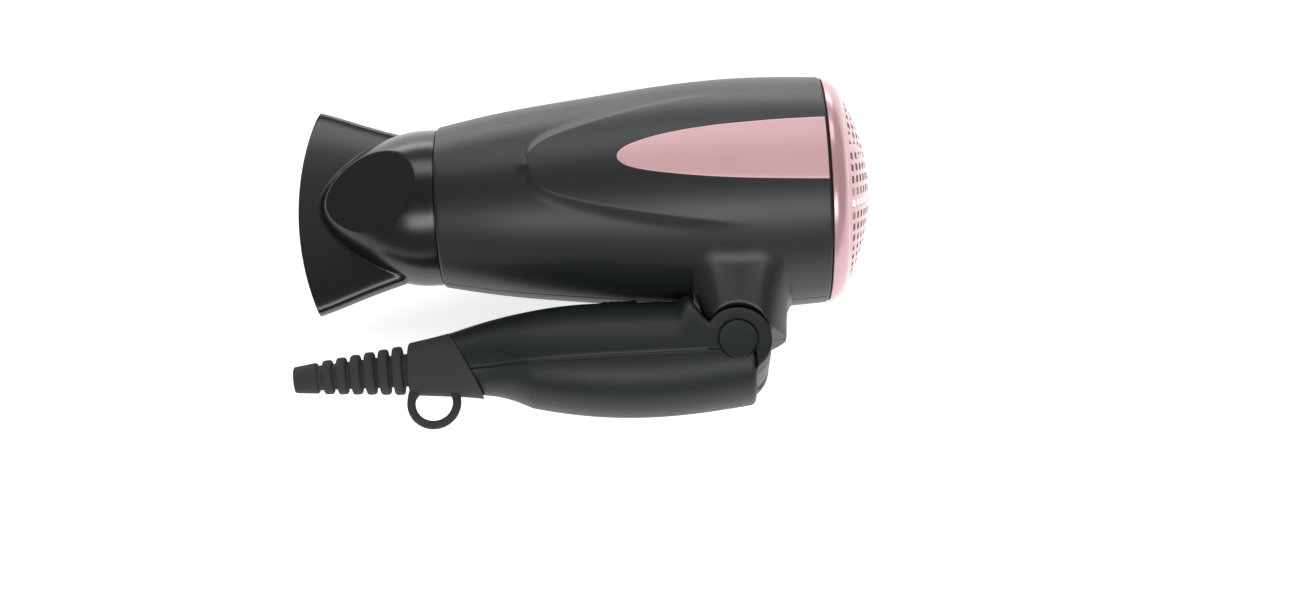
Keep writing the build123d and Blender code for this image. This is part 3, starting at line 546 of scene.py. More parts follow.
@dataclass
class Barrel:
    """Soft-touch housing in two halves, with the hinge boss and the raised side panels.

    Attributes:
        skin: (u, radius) stations of the outside.
        bore: (u, radius) stations of the inside.
        panel_tip: u of the raised panel's tip.
        panel_half: half angle of the panel, in degrees, at panel_run behind its tip.
        panel_run: distance that panel_half stands for.
        panel_fade: u where the panel starts to sink into the barrel and where it is gone.
        panel_rise: height of the panel above the barrel.
        panel_flank: width of the hollow slope round the panel.
        boss_half: half width of the hinge boss beside the ears' tops.
        boss_slope: how fast the boss widens upwards.
        boss_middle: u of the boss's middle.
        boss_reach: half length of the boss along the barrel.
        boss_low: distance under the axis where the boss starts to shorten, upwards.
        swell: height of the shoulders' swellings.
        swells: (u, width) of each swelling.
        nose: (u, distance under the axis) of the boss's outline towards the nozzle.
        heel: (u, distance under the axis) of its outline towards the rear.
        ear_top: height of the ears' tops over the hinge.
        boss_depth: distance of the boss's foot from the barrel axis.
        pocket: radius of the pockets for the handle's ears.
        knuckle: radius of the knuckle between the ears.
        knuckle_half: half width of the knuckle.
        grooves: w of the knuckle's fine grooves.
        groove: depth and width of those grooves.
        edge: depth and reach of the rounding at both ends.
        seam: depth and width of the groove along the parting plane.
        screws: (u, v) of the screw holes in the right half.
        screw_hole: radius of those holes, and their deep and open ends in w.
        inlay_tip: u of the inlay's tip.
        inlay_shape: (square root of the distance from its tip, half height) of the inlay.
        inlay_bend: radius that turns the inlay's half height into an angle.
    """

    skin: tuple = ((FRONT_U, 25.75), (-75.0, 29.2), (-46.0, 33.0), (-20.0, 35.9), (6.5, 37.2), (REAR_U, 36.3))
    bore: tuple = (
        (FRONT_U, 24.6), (-82.0, 24.6), (-75.0, 26.8), (-46.0, 30.8), (-20.0, 33.7), (6.5, 34.8), (REAR_U, 33.9),
    )
    panel_tip: float = -63.0
    panel_half: float = 32.5
    panel_run: float = 51.0
    panel_fade: tuple = (-26.0, 10.0)
    panel_rise: float = 1.35
    panel_flank: float = 4.6
    boss_half: float = 18.3
    boss_slope: float = 0.3
    boss_middle: float = 0.8
    boss_reach: float = 18.6
    boss_low: float = 44.0
    swell: float = 0.7
    swells: tuple = ((-7.5, 4.2), (8.6, 4.6))
    nose: tuple = ((-16.5, 26.0), (-13.6, 33.0), (-12.0, 40.5), (-9.4, 47.6), (-8.4, 50.0))
    heel: tuple = (
        (15.3, 50.0), (15.7, 43.0), (16.3, 40.2), (17.2, 38.4), (18.6, 37.0), (20.4, 36.0), (23.0, 20.0),
    )
    ear_top: float = 10.5
    boss_depth: float = 50.0
    pocket: float = 11.1
    knuckle: float = 10.6
    knuckle_half: float = 11.4
    grooves: tuple = (10.2, 7.6)
    groove: tuple = (0.5, 0.5)
    edge: tuple = (0.9, 1.1)
    seam: tuple = (0.16, 0.22)
    screws: tuple = ((10.5, -41.0), (-7.5, -39.5))
    screw_hole: tuple = (2.15, -32.0, -12.0)
    inlay_tip: float = -35.2
    inlay_shape: tuple = (
        (0.0, 0.0), (1.4, 2.75), (2.63, 4.7), (4.1, 6.65), (5.4, 8.2), (6.46, 9.2), (8.05, 10.35),
    )
    inlay_bend: float = 36.0

    def radius(self, u: Array, theta: Array) -> Array:
        """Distance of the outside from the barrel axis.

        The barrel's skin gets a raised leaf on its side: the leaf's half angle grows with the cube
        root of the distance from its tip, and outside its edge the rise falls off as a square.
        The boss leaves the barrel tangentially along a sloping line down to the ears' tops, swells
        at both shoulders, thins out towards both ends and stops at its foot. The ears' pockets
        cap the distance at their ceiling or at the knuckle's flat side.

        Args:
            u: position along the barrel.
            theta: angle from straight down, towards the side.

        Returns:
            The radius at each point.
        """
        base = through(u, list(self.skin))
        # raised leaf-shaped panel
        run = np.clip(u - self.panel_tip, 0, None)
        half = radians(self.panel_half) * (run / self.panel_run) ** 0.36
        outside = (np.abs(pi / 2 - theta) - half) * base
        outside = np.hypot(np.clip(outside, 0, None), np.clip(self.panel_tip - u, 0, None))
        start, end = self.panel_fade
        fade = 1 - ease((u - start) / (end - start))
        flank = np.clip(1 - np.clip(outside, 0, None) / self.panel_flank, 0, 1) ** 2
        base = base + self.panel_rise * fade * soft_min(flank, np.ones_like(flank) * 0.98, 0.12)
        # hinge boss
        x = u - HINGE_U
        sine = np.clip(np.sin(theta), 1e-3, None)
        cosine = np.clip(np.cos(theta), 1e-3, None)
        climb = np.clip((self.boss_low - base * np.cos(theta)) / 16.0, 0, 1)
        reach = self.boss_reach * np.sqrt(1 - 0.7 * climb**2)
        spread_out = (1 - np.clip(np.abs(u - self.boss_middle) / reach, 0, 1) ** 2) ** 1.05
        slope, level = self.boss_slope, -HINGE_V - self.ear_top
        bulge = self.swell * sum(bell(u, *swell) for swell in self.swells)
        flank_line = (self.boss_half + bulge + slope * level) / (sine + slope * cosine)
        flank_line = np.where(theta < np.arctan2(1.0, slope), flank_line, 0.0)
        rise = flank_line - base
        rise = np.where(np.abs(rise) < 2.0, (rise + 2.0) ** 2 / 8.0, np.clip(rise, 0, None))
        shoulder = base + rise * spread_out
        nose, heel = through(u, list(self.nose)), np.interp(u, *np.array(self.heel).T)
        foot = np.minimum(np.where(u < 3, nose, heel), self.boss_depth)
        width = np.clip(0.8 * (shoulder - base), 1e-3, 2.5)
        boss = soft_min(soft_max(base, foot / cosine, 3.0), shoulder, width)
        drum = np.sqrt(np.clip(self.knuckle**2 - x**2, 0, None))
        across = 60.0 * sine
        deep, wide = self.groove
        groove = deep * sum(bell(across, middle, wide) for middle in self.grooves)
        drum_foot = np.where(np.abs(x) < self.knuckle, (-HINGE_V + drum - groove) / cosine, 0.0)
        drum_foot = np.where(theta < 1.3, np.minimum(drum_foot, self.knuckle_half / sine), 0.0)
        solid = np.maximum(np.maximum(boss, drum_foot), base)
        bite = np.sqrt(np.clip(self.pocket**2 - x**2, 0, None))
        ceiling = np.where(np.abs(x) < self.pocket, (-HINGE_V - bite) / cosine, 200.0)
        pocket = soft_max(ceiling, self.knuckle_half / sine, 0.5)
        return soft_min(solid, pocket, 0.7)

    def half(self, side: Side) -> bpy.types.Object:
        """One housing half: the outside grid, its bore and the faces on the parting plane."""
        u = spread((FRONT_U, -91.6, 0.3), (-91.6, -69.0, 1.6), (-69.0, -17.5, 0.72),
                   (-17.5, 21.0, 0.36), (21.0, 29.0, 1.0), (29.0, REAR_U, 0.3))[:, None]
        theta = np.radians(spread((0, 1.0, 0.33), (1.0, 38.0, 0.46), (38.0, 142.0, 0.9),
                                  (142.0, 179.5, 2.0), (179.5, 180.0, 0.25)))[None, :]
        outer = self.radius(u, theta)
        depth, reach = self.edge
        from_end = np.minimum(u - FRONT_U, REAR_U - u)
        outer = outer - depth * (1 - np.sqrt(1 - np.clip(1 - from_end / reach, 0, 1) ** 2))
        depth, width = self.seam
        outer = outer - depth * bell(np.minimum(theta, pi - theta) * outer, 0.0, width)
        inner = np.broadcast_to(through(u, list(self.bore)), outer.shape)
        flip = side.value
        walls = [place(u, -r * np.cos(theta), flip * r * np.sin(theta)) for r in (outer, inner)]
        name = f"housing_{side.name.lower()}_skin"
        piece = Surface().shell(walls[0], walls[1]).build(name, sharp=38)
        if side is Side.RIGHT:
            for screw in self.screws:
                cut(piece, disc_tool(*self.screw_hole, *screw), sharp=38)
        return dress(piece, SOFT_TOUCH, "barrel", "soft_shell", f"housing_{side.name.lower()}")

    def inlay(self, side: Side) -> None:
        """Rose gold leaf on one side, and a dark band round it that is painted shade in the groove at its edge.

        The leaf's half height follows a curve from its tip to its blunt rear end, and its
        surface is the barrel's skin lifted by a small crown that falls off at the edge.
        """
        tip = self.inlay_tip
        u = spread((tip + 0.03, -34.6, 0.04), (-34.6, -32.0, 0.2), (-32.0, 29.4, 0.8))[:, None]
        across = np.sin(np.linspace(-pi / 2, pi / 2, 41))[None, :]
        half = through(np.sqrt(np.clip(u - tip, 0, None)), list(self.inlay_shape))
        for name, grow, lift, finish, slot in (
            ("inlay", 0.0, 0.34, ROSE_SATIN, "rose_trim"),
            # the second sheet is a dark band round the leaf: painted shade in the groove at its edge
            ("inlay_painted_shade", 0.45, 0.04, PAINTED_GROOVE_SHADE, "soft_shell"),
        ):
            beta = across * (half + grow * ease(half)) / self.inlay_bend
            fall = 1 - np.abs(across) ** 14
            skin = self.radius(u, pi / 2 + beta)
            along = u - grow * (1 - ease(half / 4))
            walls = [
                place(along, r * np.sin(beta), side.value * r * np.cos(beta))
                for r in (skin + lift * np.clip(fall, 0, 1) ** 0.5, skin - 0.9)
            ]
            label = f"{name}_{side.name.lower()}"
            piece = Surface().shell(walls[0], walls[1]).build(label + "_skin", sharp=50)
            nodes = (label,) if grow == 0 else ()
            dress(piece, finish, "barrel", slot, *nodes)

    def build(self) -> None:
        """Build both halves and both inlays."""
        for side in Side:
            self.half(side)
            self.inlay(side)


@dataclass
class AirInlet:
    """Pearl ring at the rear and the domed grille with rows of small windows.

    Attributes:
        grille_radius: radius of the dome's foot.
        ring_end: distance from the barrel's rear end to the ring's.
        rise: height of the dome.
        bend: radius of the dome's curve.
        rows: rows of windows.
        first: radius of the outer row's middle.
        row_pitch: distance between rows.
        hole_pitch: distance between windows round a row.
        wall: thickness of the dome.
    """

    grille_radius: float = 32.2
    ring_end: float = 5.2
    rise: float = 9.4
    bend: float = 60.5
    rows: int = 9
    first: float = 29.3
    row_pitch: float = 3.05
    hole_pitch: float = 3.75
    wall: float = 1.5

    def dome(self, radius: Array, depth: float) -> Array:
        """u of the dome at a radius, at a depth under its outer face."""
        centre = REAR_U + self.ring_end + self.rise - self.bend
        return centre + np.sqrt((self.bend - depth) ** 2 - radius**2)

    def ring(self) -> None:
        """Rear ring: a rounded, conical band turned about the barrel axis."""
        profile = [
            (-7.8, 33.7), (-0.1, 33.7), (0.25, 35.6), (0.3, 36.0), (0.9, 36.15), (2.2, 35.75), (3.6, 34.9),
            (4.7, 33.9), (5.2, 33.1), (5.3, 32.7), (5.0, 32.4), (-7.8, 32.4),
        ]
        piece = Surface().lathe(profile, 220, axis_from=(REAR_U, 0.0)).build("rear_ring_skin", sharp=40)
        dress(piece, ROSE_PEARL, "barrel", "rose_ring", "rear_ring")

    def grille(self) -> None:
        """Domed grille: each row is an annulus of cells, and each cell is a frame round a window.

        A cell's corner lines are four radii by four angles; all blocks but the middle one are
        filled, on the outer and the inner face, and the window's four sides join them.
        """
        surface = Surface()
        foot, base = self.first + 1.4, REAR_U + 1.2
        for row in range(self.rows):
            middle = self.first - row * self.row_pitch
            count = max(3, round(2 * pi * middle / self.hole_pitch))
            radii = middle + self.row_pitch * np.array([0.5, 0.27, -0.27, -0.5])
            cell = 2 * pi / count
            share = np.array([0.0, 0.2, 0.8]) + 0.37 * row
            turns = (np.arange(count)[:, None] + share[None, :]).reshape(-1) * cell
            self.add_row(surface, radii, turns, count)
        rim = [
            (float(self.dome(np.array(foot), 0)), foot), (REAR_U + 5.3, self.grille_radius),
            (base, self.grille_radius), (base, foot),
        ]
        surface.lathe(rim, 200)
        hub = self.first - (self.rows - 0.5) * self.row_pitch + 0.05
        apex = float(self.dome(np.array(0.0), 0))
        under = apex - self.wall
        surface.lathe([(under, hub), (apex - 0.03, hub), (apex + 0.05, 0.01), (under, 0.01)], 60)
        piece = surface.build("inlet_grille_skin", sharp=30)
        dress(piece, ROSE_PLATED, "barrel", "rose_grille", "inlet_grille")

    def add_row(self, surface: Surface, radii: Array, turns: Array, count: int) -> None:
        """Add one annular row of window frames to the grille's surface.

        Args:
            surface: the surface to add to.
            radii: four radii, from the row's outer to its inner edge.
            turns: three angles for each cell, in order round the row.
            count: number of cells in the row; not used.
        """
        lines = len(turns)
        angle, radius = turns[None, :], radii[:, None]
        faces = [
            place(self.dome(radius, depth), radius * np.cos(angle), radius * np.sin(angle))
            for depth in (0.0, self.wall)
        ]
        base = surface.count
        top = np.arange(4 * lines).reshape(4, lines) + base
        low = top + 4 * lines
        surface.points += [face.reshape(-1, 3) for face in faces]
        surface.count += 8 * lines
        everywhere = np.arange(lines)
        after = np.roll(everywhere, -1)
        window = everywhere % 3 == 1
        for band in range(3):
            keep = ~window if band == 1 else np.ones(lines, bool)
            for face, a, b in ((top, everywhere, after), (low, after, everywhere)):
                corners = [face[band, a], face[band, b], face[band + 1, b], face[band + 1, a]]
                surface.faces += np.stack(corners, -1)[keep].tolist()
        a, b = everywhere[window], after[window]
        for i, j, p, q in ((1, 1, a, b), (2, 2, b, a), (1, 2, b, b), (2, 1, a, a)):
            surface.faces += np.stack([top[i, p], top[j, q], low[j, q], low[i, p]], -1).tolist()
        for band, p, q in ((0, after, everywhere), (3, everywhere, after)):
            surface.faces += np.stack([top[band, p], top[band, q], low[band, q], low[band, p]], -1).tolist()

    def build(self) -> None:
        """Build the ring and the grille."""
        self.ring()
        self.grille()


# ---------- nozzle


@dataclass
class Nozzle:
    """Glossy concentrator: a round collar that narrows between two sloping flats to a wide slot.

    Attributes:
        collar: radius of the collar.
        bullet: u of the bullet's start, its length and its two powers.
        flat: u of the flats' start, their run, height at the start, fall and dish.
        wing_foot: u, half height and run of the straight line that the wing's edge follows.
        wing: half height of the slot's wing at its front corners.
        blade: half thickness of the wing.
        wall: wall thickness.
        arc: radius of the front edge's curve.
        samples: points round each section.
        front: u of the wall's front edge.
    """

    collar: float = 25.1
    bullet: tuple = (-97.0, 35.5, 1.8, 0.59)
    flat: tuple = (-98.8, 31.7, 25.0, 16.8, 0.6)
    wing_foot: tuple = (-104.4, 25.0, 27.9)
    wing: float = 33.1
    blade: float = 4.8
    wall: float = 1.5
    arc: float = 97.0
    samples: int = 230
    front: float = -138.1

    def section(self, s: Array, theta: Array, inset: float) -> Array:
        """Radius of the section at a station: the larger of the body and the wing.

        The body is the smaller of a bullet of revolution, whose radius falls as a power of the
        distance from the collar, and two slightly dished flats that slope towards the slot. The
        wing is a flat oval bar whose half height grows in a straight line to the front. Both
        joins are rounded.

        Args:
            s: station along the barrel axis, in u.
            theta: angle from straight up.
            inset: how far inside the outer face the section lies.

        Returns:
            The section's radius.
        """
        start, length, first_power, last_power = self.bullet
        ahead = np.clip((start - s) / length, 0, 1)
        bullet = np.clip(self.collar * (1 - ahead**first_power) ** last_power - inset, 0.3, None)
        start, run, height, fall, dish = self.flat
        down = np.clip((start - s) / run, 0, 1.05)
        slope = fall * np.where(s > start, (start - s) / run, down)
        flat = height - slope - dish * np.sin(pi * np.clip(down, 0, 1)) - inset
        sine = np.clip(np.abs(np.sin(theta)), 1e-4, None)
        cosine = np.clip(np.abs(np.cos(theta)), 1e-4, None)
        body = soft_min(bullet + 0 * theta, flat / sine, 0.4)
        start, height, run = self.wing_foot
        half = height + (self.wing - height) * (start - s) / run - inset
        thick = self.blade - inset
        power = 4.0
        wing = ((cosine / half) ** power + (sine / thick) ** power) ** (-1 / power)
        grown = ease((-99.0 - s) / 6.0)
        return np.where(grown > 0, soft_max(body, wing * grown, 1.2), body)

    def skin(self, stations: Array, inset: float) -> Array:
        """Grid of the nozzle's outside, or of its air way when inset.

        Each station is pushed back towards the wing's tips so that the front edge follows a
        circular arc; the push grows smoothly from the collar to the slot. Extra angles gather
        at the wing's tips.

        Args:
            stations: u of each section.
            inset: how far inside the outer face the grid lies.

        Returns:
            The grid's points, stations by angles by 3.
        """
        even = circle(self.samples)
        bunch = np.arctan2(self.blade * np.sin(even), self.wing * np.cos(even)) % (2 * pi)
        theta = np.sort(np.concatenate([even, bunch]))[None, :]
        theta = theta + np.linspace(0, 1e-5, theta.size)[None, :]
        s = stations[:, None]
        radius = self.section(s, theta, inset)
        v, w = radius * np.cos(theta), radius * np.sin(theta)
        sag = self.arc - np.sqrt(self.arc**2 - np.clip(v, -40, 40) ** 2)
        pull = ease((-100.0 - s) / 38.0)
        return place(s + sag * pull, v, w)

    def build(self) -> None:
        """Build the nozzle: outside, rounded lip, air way and spigot, as one closed wall."""
        out = spread((-94.6, -98.0, 0.8), (-98.0, -133.0, 0.4), (-133.0, self.front, 0.6))[::-1]
        outer = self.skin(out, 0.0)
        lip = self.wall / 2
        lips = [
            self.skin(np.array([self.front - 0.6 * lip * sin(a)]), lip - lip * cos(a))
            for a in (0.5, 1.1, 1.57, 2.1, 2.7)
        ]
        inner = self.skin(out[::-3], self.wall)
        spigot = self.rings(outer[0], [
            (-84.2, 22.7), (-84.2, 24.0), (-87.0, 24.1), (-87.0, 23.3), (-89.0, 23.3), (-89.0, 24.1),
            (-92.9, 24.2), (-93.0, 24.9), (-93.4, 25.05),
        ])
        grid = np.concatenate([outer, *lips, inner, spigot])
        piece = Surface().torus(grid).build("nozzle_skin", sharp=34)
        dress(piece, GLOSS_BLACK, "nozzle", "gloss_black", "nozzle")

    def rings(self, like: Array, profile: list[tuple[float, float]]) -> Array:
        """Round rings at the given (u, radius), with the same angles as an existing ring."""
        flat = like / MM - DATUM
        theta = np.arctan2(flat[:, 2], flat[:, 1])[None, :]
        u, radius = np.array(profile).T[:, :, None]
        return place(u, radius * np.cos(theta), radius * np.sin(theta))


# ---------- handle


@dataclass
class Handle:
    """Folding handle: two moulded shells with the hinge ears, screw plugs, slider and caps.

    Attributes:
        stations: (u, centre v, half height, half width) of the grip's sections.
        parting: v of the line between the shells.
        seam_top: (u, v) of the slanted seam's upper end.
        seam_foot: (u, v) of the seam's lower end.
        ear: radius of the hinge ears.
        ear_rim: (w, loss of radius) from an ear's inner face to its outer one.
        ear_start: u where the grip's top starts to fall towards the ears.
        top_fall: (u, v) of that fall.
        back_end: u of the back shell's end at the hinge.
        wall: wall thickness.
        knuckle_room: radius and half width of the gap for the barrel's knuckle.
        cap_room: radius of the caps' recesses, and their floor and outer end in w.
        switch_room: low and high corner of the slider's recess.
        screws: u of the screw plugs.
        slider_at: u of the slider's middle.
    """

    stations: tuple = (
        (-103.6, -54.1, 8.05, 8.0), (-91.0, -53.35, 9.8, 9.7), (-82.0, -52.7, 11.4, 11.2),
        (-66.0, -52.9, 14.9, 14.5), (-49.0, -53.8, 17.3, 16.8), (-33.0, -54.6, 17.9, 17.4),
        (-17.0, -54.7, 17.5, 17.5), (8.0, -54.5, 14.9, 17.5),
    )
    parting: float = -57.5
    seam_top: tuple = (-91.3, -43.4)
    seam_foot: tuple = (-80.5, -64.0)
    ear: float = 10.6
    ear_rim: tuple = (
        (11.9, 0.0), (16.2, 0.0), (16.75, 0.12), (17.1, 0.35), (17.32, 0.7), (17.42, 1.2), (17.42, 4.0),
    )
    ear_start: float = -15.6
    top_fall: tuple = ((-15.6, -37.2), (-14.4, -38.9), (-12.8, -42.0), (-10.9, -45.4), (-8.7, -47.8))
    back_end: float = 4.8
    wall: float = 2.2
    knuckle_room: tuple = (11.5, 12.05)
    cap_room: tuple = (6.5, 16.6, 30.0)
    switch_room: tuple = ((-44.3, -38.0, -5.3), (-21.7, -30.0, 5.3))
    screws: tuple = (-70.0, -20.5)
    slider_at: float = -37.0

    def track(self, u: Array, column: int) -> Array:
        """One column of the grip's stations as a smooth curve along u."""
        return through(u, [(row[0], row[column]) for row in self.stations])

    def seam_u(self, v: Array) -> Array:
        """u of the slanted seam at a height."""
        (u0, v0), (u1, v1) = self.seam_top, self.seam_foot
        return u0 + (u1 - u0) * (v - v0) / (v1 - v0)

    def section(self, u: Array, phi: Array) -> tuple[Array, Array]:
        """(v, w) of the grip's outline at u: a slightly squared oval, phi from the top."""
        c, s = np.cos(phi), np.sin(phi)
        power = 2.25 + np.where(c > 0, 5.0 * ease((u + 20.0) / 9.0), 0.0)
        reach = (np.abs(c) ** power + np.abs(s) ** power) ** (-1 / power)
        half_height, half_width = self.track(u, 2), self.track(u, 3) - 0.25 * ease((u + 8.0) / 10.0)
        top = np.clip(self.top_of(u) - self.track(u, 1), 0.5, None)
        upper = np.where(u > self.ear_start, top, half_height)
        lift = np.where(c > 0, upper, half_height)
        return self.track(u, 1) + lift * reach * c, half_width * reach * s

    def top_of(self, u: Array) -> Array:
        """Height of the grip's top: the oval, then a quick fall to the ear's circle."""
        oval = self.track(u, 1) + self.track(u, 2)
        rim = self.ear - 0.1
        x = np.clip(u - HINGE_U, -rim, rim)
        round_ear = HINGE_V + np.sqrt(rim**2 - x**2)
        fall = np.interp(u, *np.array(self.top_fall).T)
        falling = np.where(u < self.top_fall[-1][0], np.minimum(fall, oval), round_ear)
        return np.where(u < self.ear_start, oval, falling)

    def shell(self, upper: bool) -> Surface:
        """Closed solid of one shell: section arcs on one side of the parting line, and its chord.

        Args:
            upper: the shell towards the barrel, or else the one away from it.

        Returns:
            The solid, with its front end on the slanted seam.
        """
        start = self.seam_top[0]
        if upper:
            u = spread((start, -88.0, 0.8), (-88.0, -18.0, 1.0), (-18.0, -8.0, 0.3), (-8.0, 4.4, 0.5))
        else:
            u = spread((start, -88.0, 0.8), (-88.0, -4.0, 1.1), (-4.0, 3.0, 0.8), (3.0, self.back_end, 0.15))
        u = u[:, None]
        gap = 0.05
        level = self.parting + (gap if upper else -gap)
        centre = self.track(u, 1)
        lean = np.clip((centre - level) / self.track(u, 2), -0.95, 0.95)
        bend = np.arccos(np.clip(-lean, -1, 1)) if upper else np.arccos(np.clip(lean, -1, 1))
        share = np.linspace(-1, 1, 91)[None, :]
        phi = share * bend if upper else pi + share * bend
        v, w = self.section(u, phi)
        v = np.maximum(v, level) if upper else np.minimum(v, level)
        near = np.abs(v - level)
        if not upper:
            round_off = 1 - np.sqrt(1 - np.clip((u - self.back_end + 1.8) / 1.8, 0, 1) ** 2 * 0.999)
            v = level + (v - level) * (1 - 0.13 * round_off)
            w = w * (1 - 0.06 * round_off)
        w = w * (1 - 0.018 * bell(near, 0.0, 0.22))
        seam = self.seam_u(v) + 0.08
        run = 26.0
        from_seam = seam + (u - start) * (1 - (seam - start) / run)
        return Surface().tube(place(np.where(u < start + run, from_seam, u), v, w))

    def hollow(self) -> Surface:
        """Closed solid of the shell's inside, as a cutting tool."""
        u = np.linspace(-96.0, -13.2, 50)[:, None]
        phi = circle(72)[None, :]
        half_height, half_width = self.track(u, 2) - self.wall, self.track(u, 3) - self.wall
        v = self.track(u, 1) + half_height * np.cos(phi)
        return Surface().tube(place(u, v, half_width * np.sin(phi)))

    def ear_disc(self, side: Side) -> Surface:
        """One hinge ear: a disc with a rounded rim, flat where it meets the back shell."""
        turn = circle(160)[None, :]
        w, less = np.array(self.ear_rim).T[:, :, None]
        radius = self.ear - less
        u, v = HINGE_U + radius * np.cos(turn), HINGE_V + radius * np.sin(turn)
        v = np.where(u < self.back_end + 0.1, np.maximum(v, self.parting + 0.06), v)
        return Surface().tube(place(u, v, side.value * w))

    def shells(self) -> None:
        """Front and back shells, cut for the knuckle, the caps, the slider and the screw plugs."""
        radius, half = self.knuckle_room
        for upper, node in ((True, "handle_front_shell"), (False, "handle_back_shell")):
            piece = self.shell(upper).build(node + "_skin", sharp=36)
            cut(piece, self.hollow())
            if upper:
                for side in Side:
                    cut(piece, self.ear_disc(side), Change.JOIN)
            cut(piece, disc_tool(radius, -half, half))
            for side in Side:
                recess, *ends = self.cap_room
                cut(piece, disc_tool(recess, *sorted(side.value * end for end in ends)))
            if upper:
                cut(piece, box_tool(*self.switch_room))
            else:
                for u in self.screws:
                    cut(piece, self.plug_groove(u))
            dress(piece, HANDLE_SATIN, "handle", "soft_shell", node)

    def plug_groove(self, u: float) -> Surface:
        """Fine groove round the flush plug of a screw's well in the back shell, as a cutting tool."""
        turn = circle(64)[None, :]
        top = float(self.track(np.array(u), 1) - self.track(np.array(u), 2)) + 0.4
        v = np.array([-90.0, -90.0, top, top])[:, None]
        radius = np.array([2.35, 2.2, 2.2, 2.35])[:, None]
        return Surface().torus(place(u + radius * np.cos(turn), v, radius * np.sin(turn)))

    def caps(self) -> None:
        """Hinge caps: low domed discs in the ears' recesses."""
        turn = circle(96)[None, :]
        rows = [
            (0.02, 16.2), (5.6, 16.2), (5.95, 16.6), (5.98, 17.1), (5.75, 17.42), (5.2, 17.5), (3.0, 17.56),
            (0.02, 17.58),
        ]
        radius, w = np.array(rows).T[:, :, None]
        for side in Side:
            u, v = HINGE_U + radius * np.cos(turn), HINGE_V + radius * np.sin(turn)
            name = f"hinge_cap_{side.name.lower()}"
            piece = Surface().torus(place(u, v, side.value * w)).build(name + "_skin", sharp=45)
            dress(piece, HANDLE_SATIN, "handle", "soft_shell", name)

    def slider(self) -> None:
        """Thumb slider: a rounded pad with cross ridges on a stem.

        The pad's height is a plateau that falls off at its rounded border, plus a cosine of
        the distance along it for the ridges.
        """
        t = np.linspace(-1, 1, 97)[:, None]
        q = np.linspace(-1, 1, 41)[None, :]
        u = self.slider_at + 6.0 * t
        w = 4.5 * q * np.ones_like(t)
        edge = np.clip(1 - np.maximum(np.abs(t) ** 16, np.abs(q) ** 16), 0, 1)
        inside = ease((0.86 - np.abs(t)) / 0.1) * ease((0.9 - np.abs(q)) / 0.1)
        ridges = 0.22 * np.cos(2 * pi * (u - self.slider_at) / 2.2)
        high = -37.4 + 1.28 * edge**0.5 + ridges * inside
        low = np.full_like(high, -37.75)
        surface = Surface().shell(place(u, high, w), place(u, low, w))
        stem = box_tool((-39.5, -43.8, -1.2), (-34.5, -37.75, 1.2))
        surface.faces += [[i + surface.count for i in face] for face in stem.faces]
        surface.points += stem.points
        piece = surface.build("switch_slider_skin", sharp=50)
        dress(piece, PLASTIC, "slider", "switch_plastic", "switch_slider")

    def build(self) -> None:
        """Build every visible piece of the handle."""
        self.shells()
        self.caps()
        self.slider()


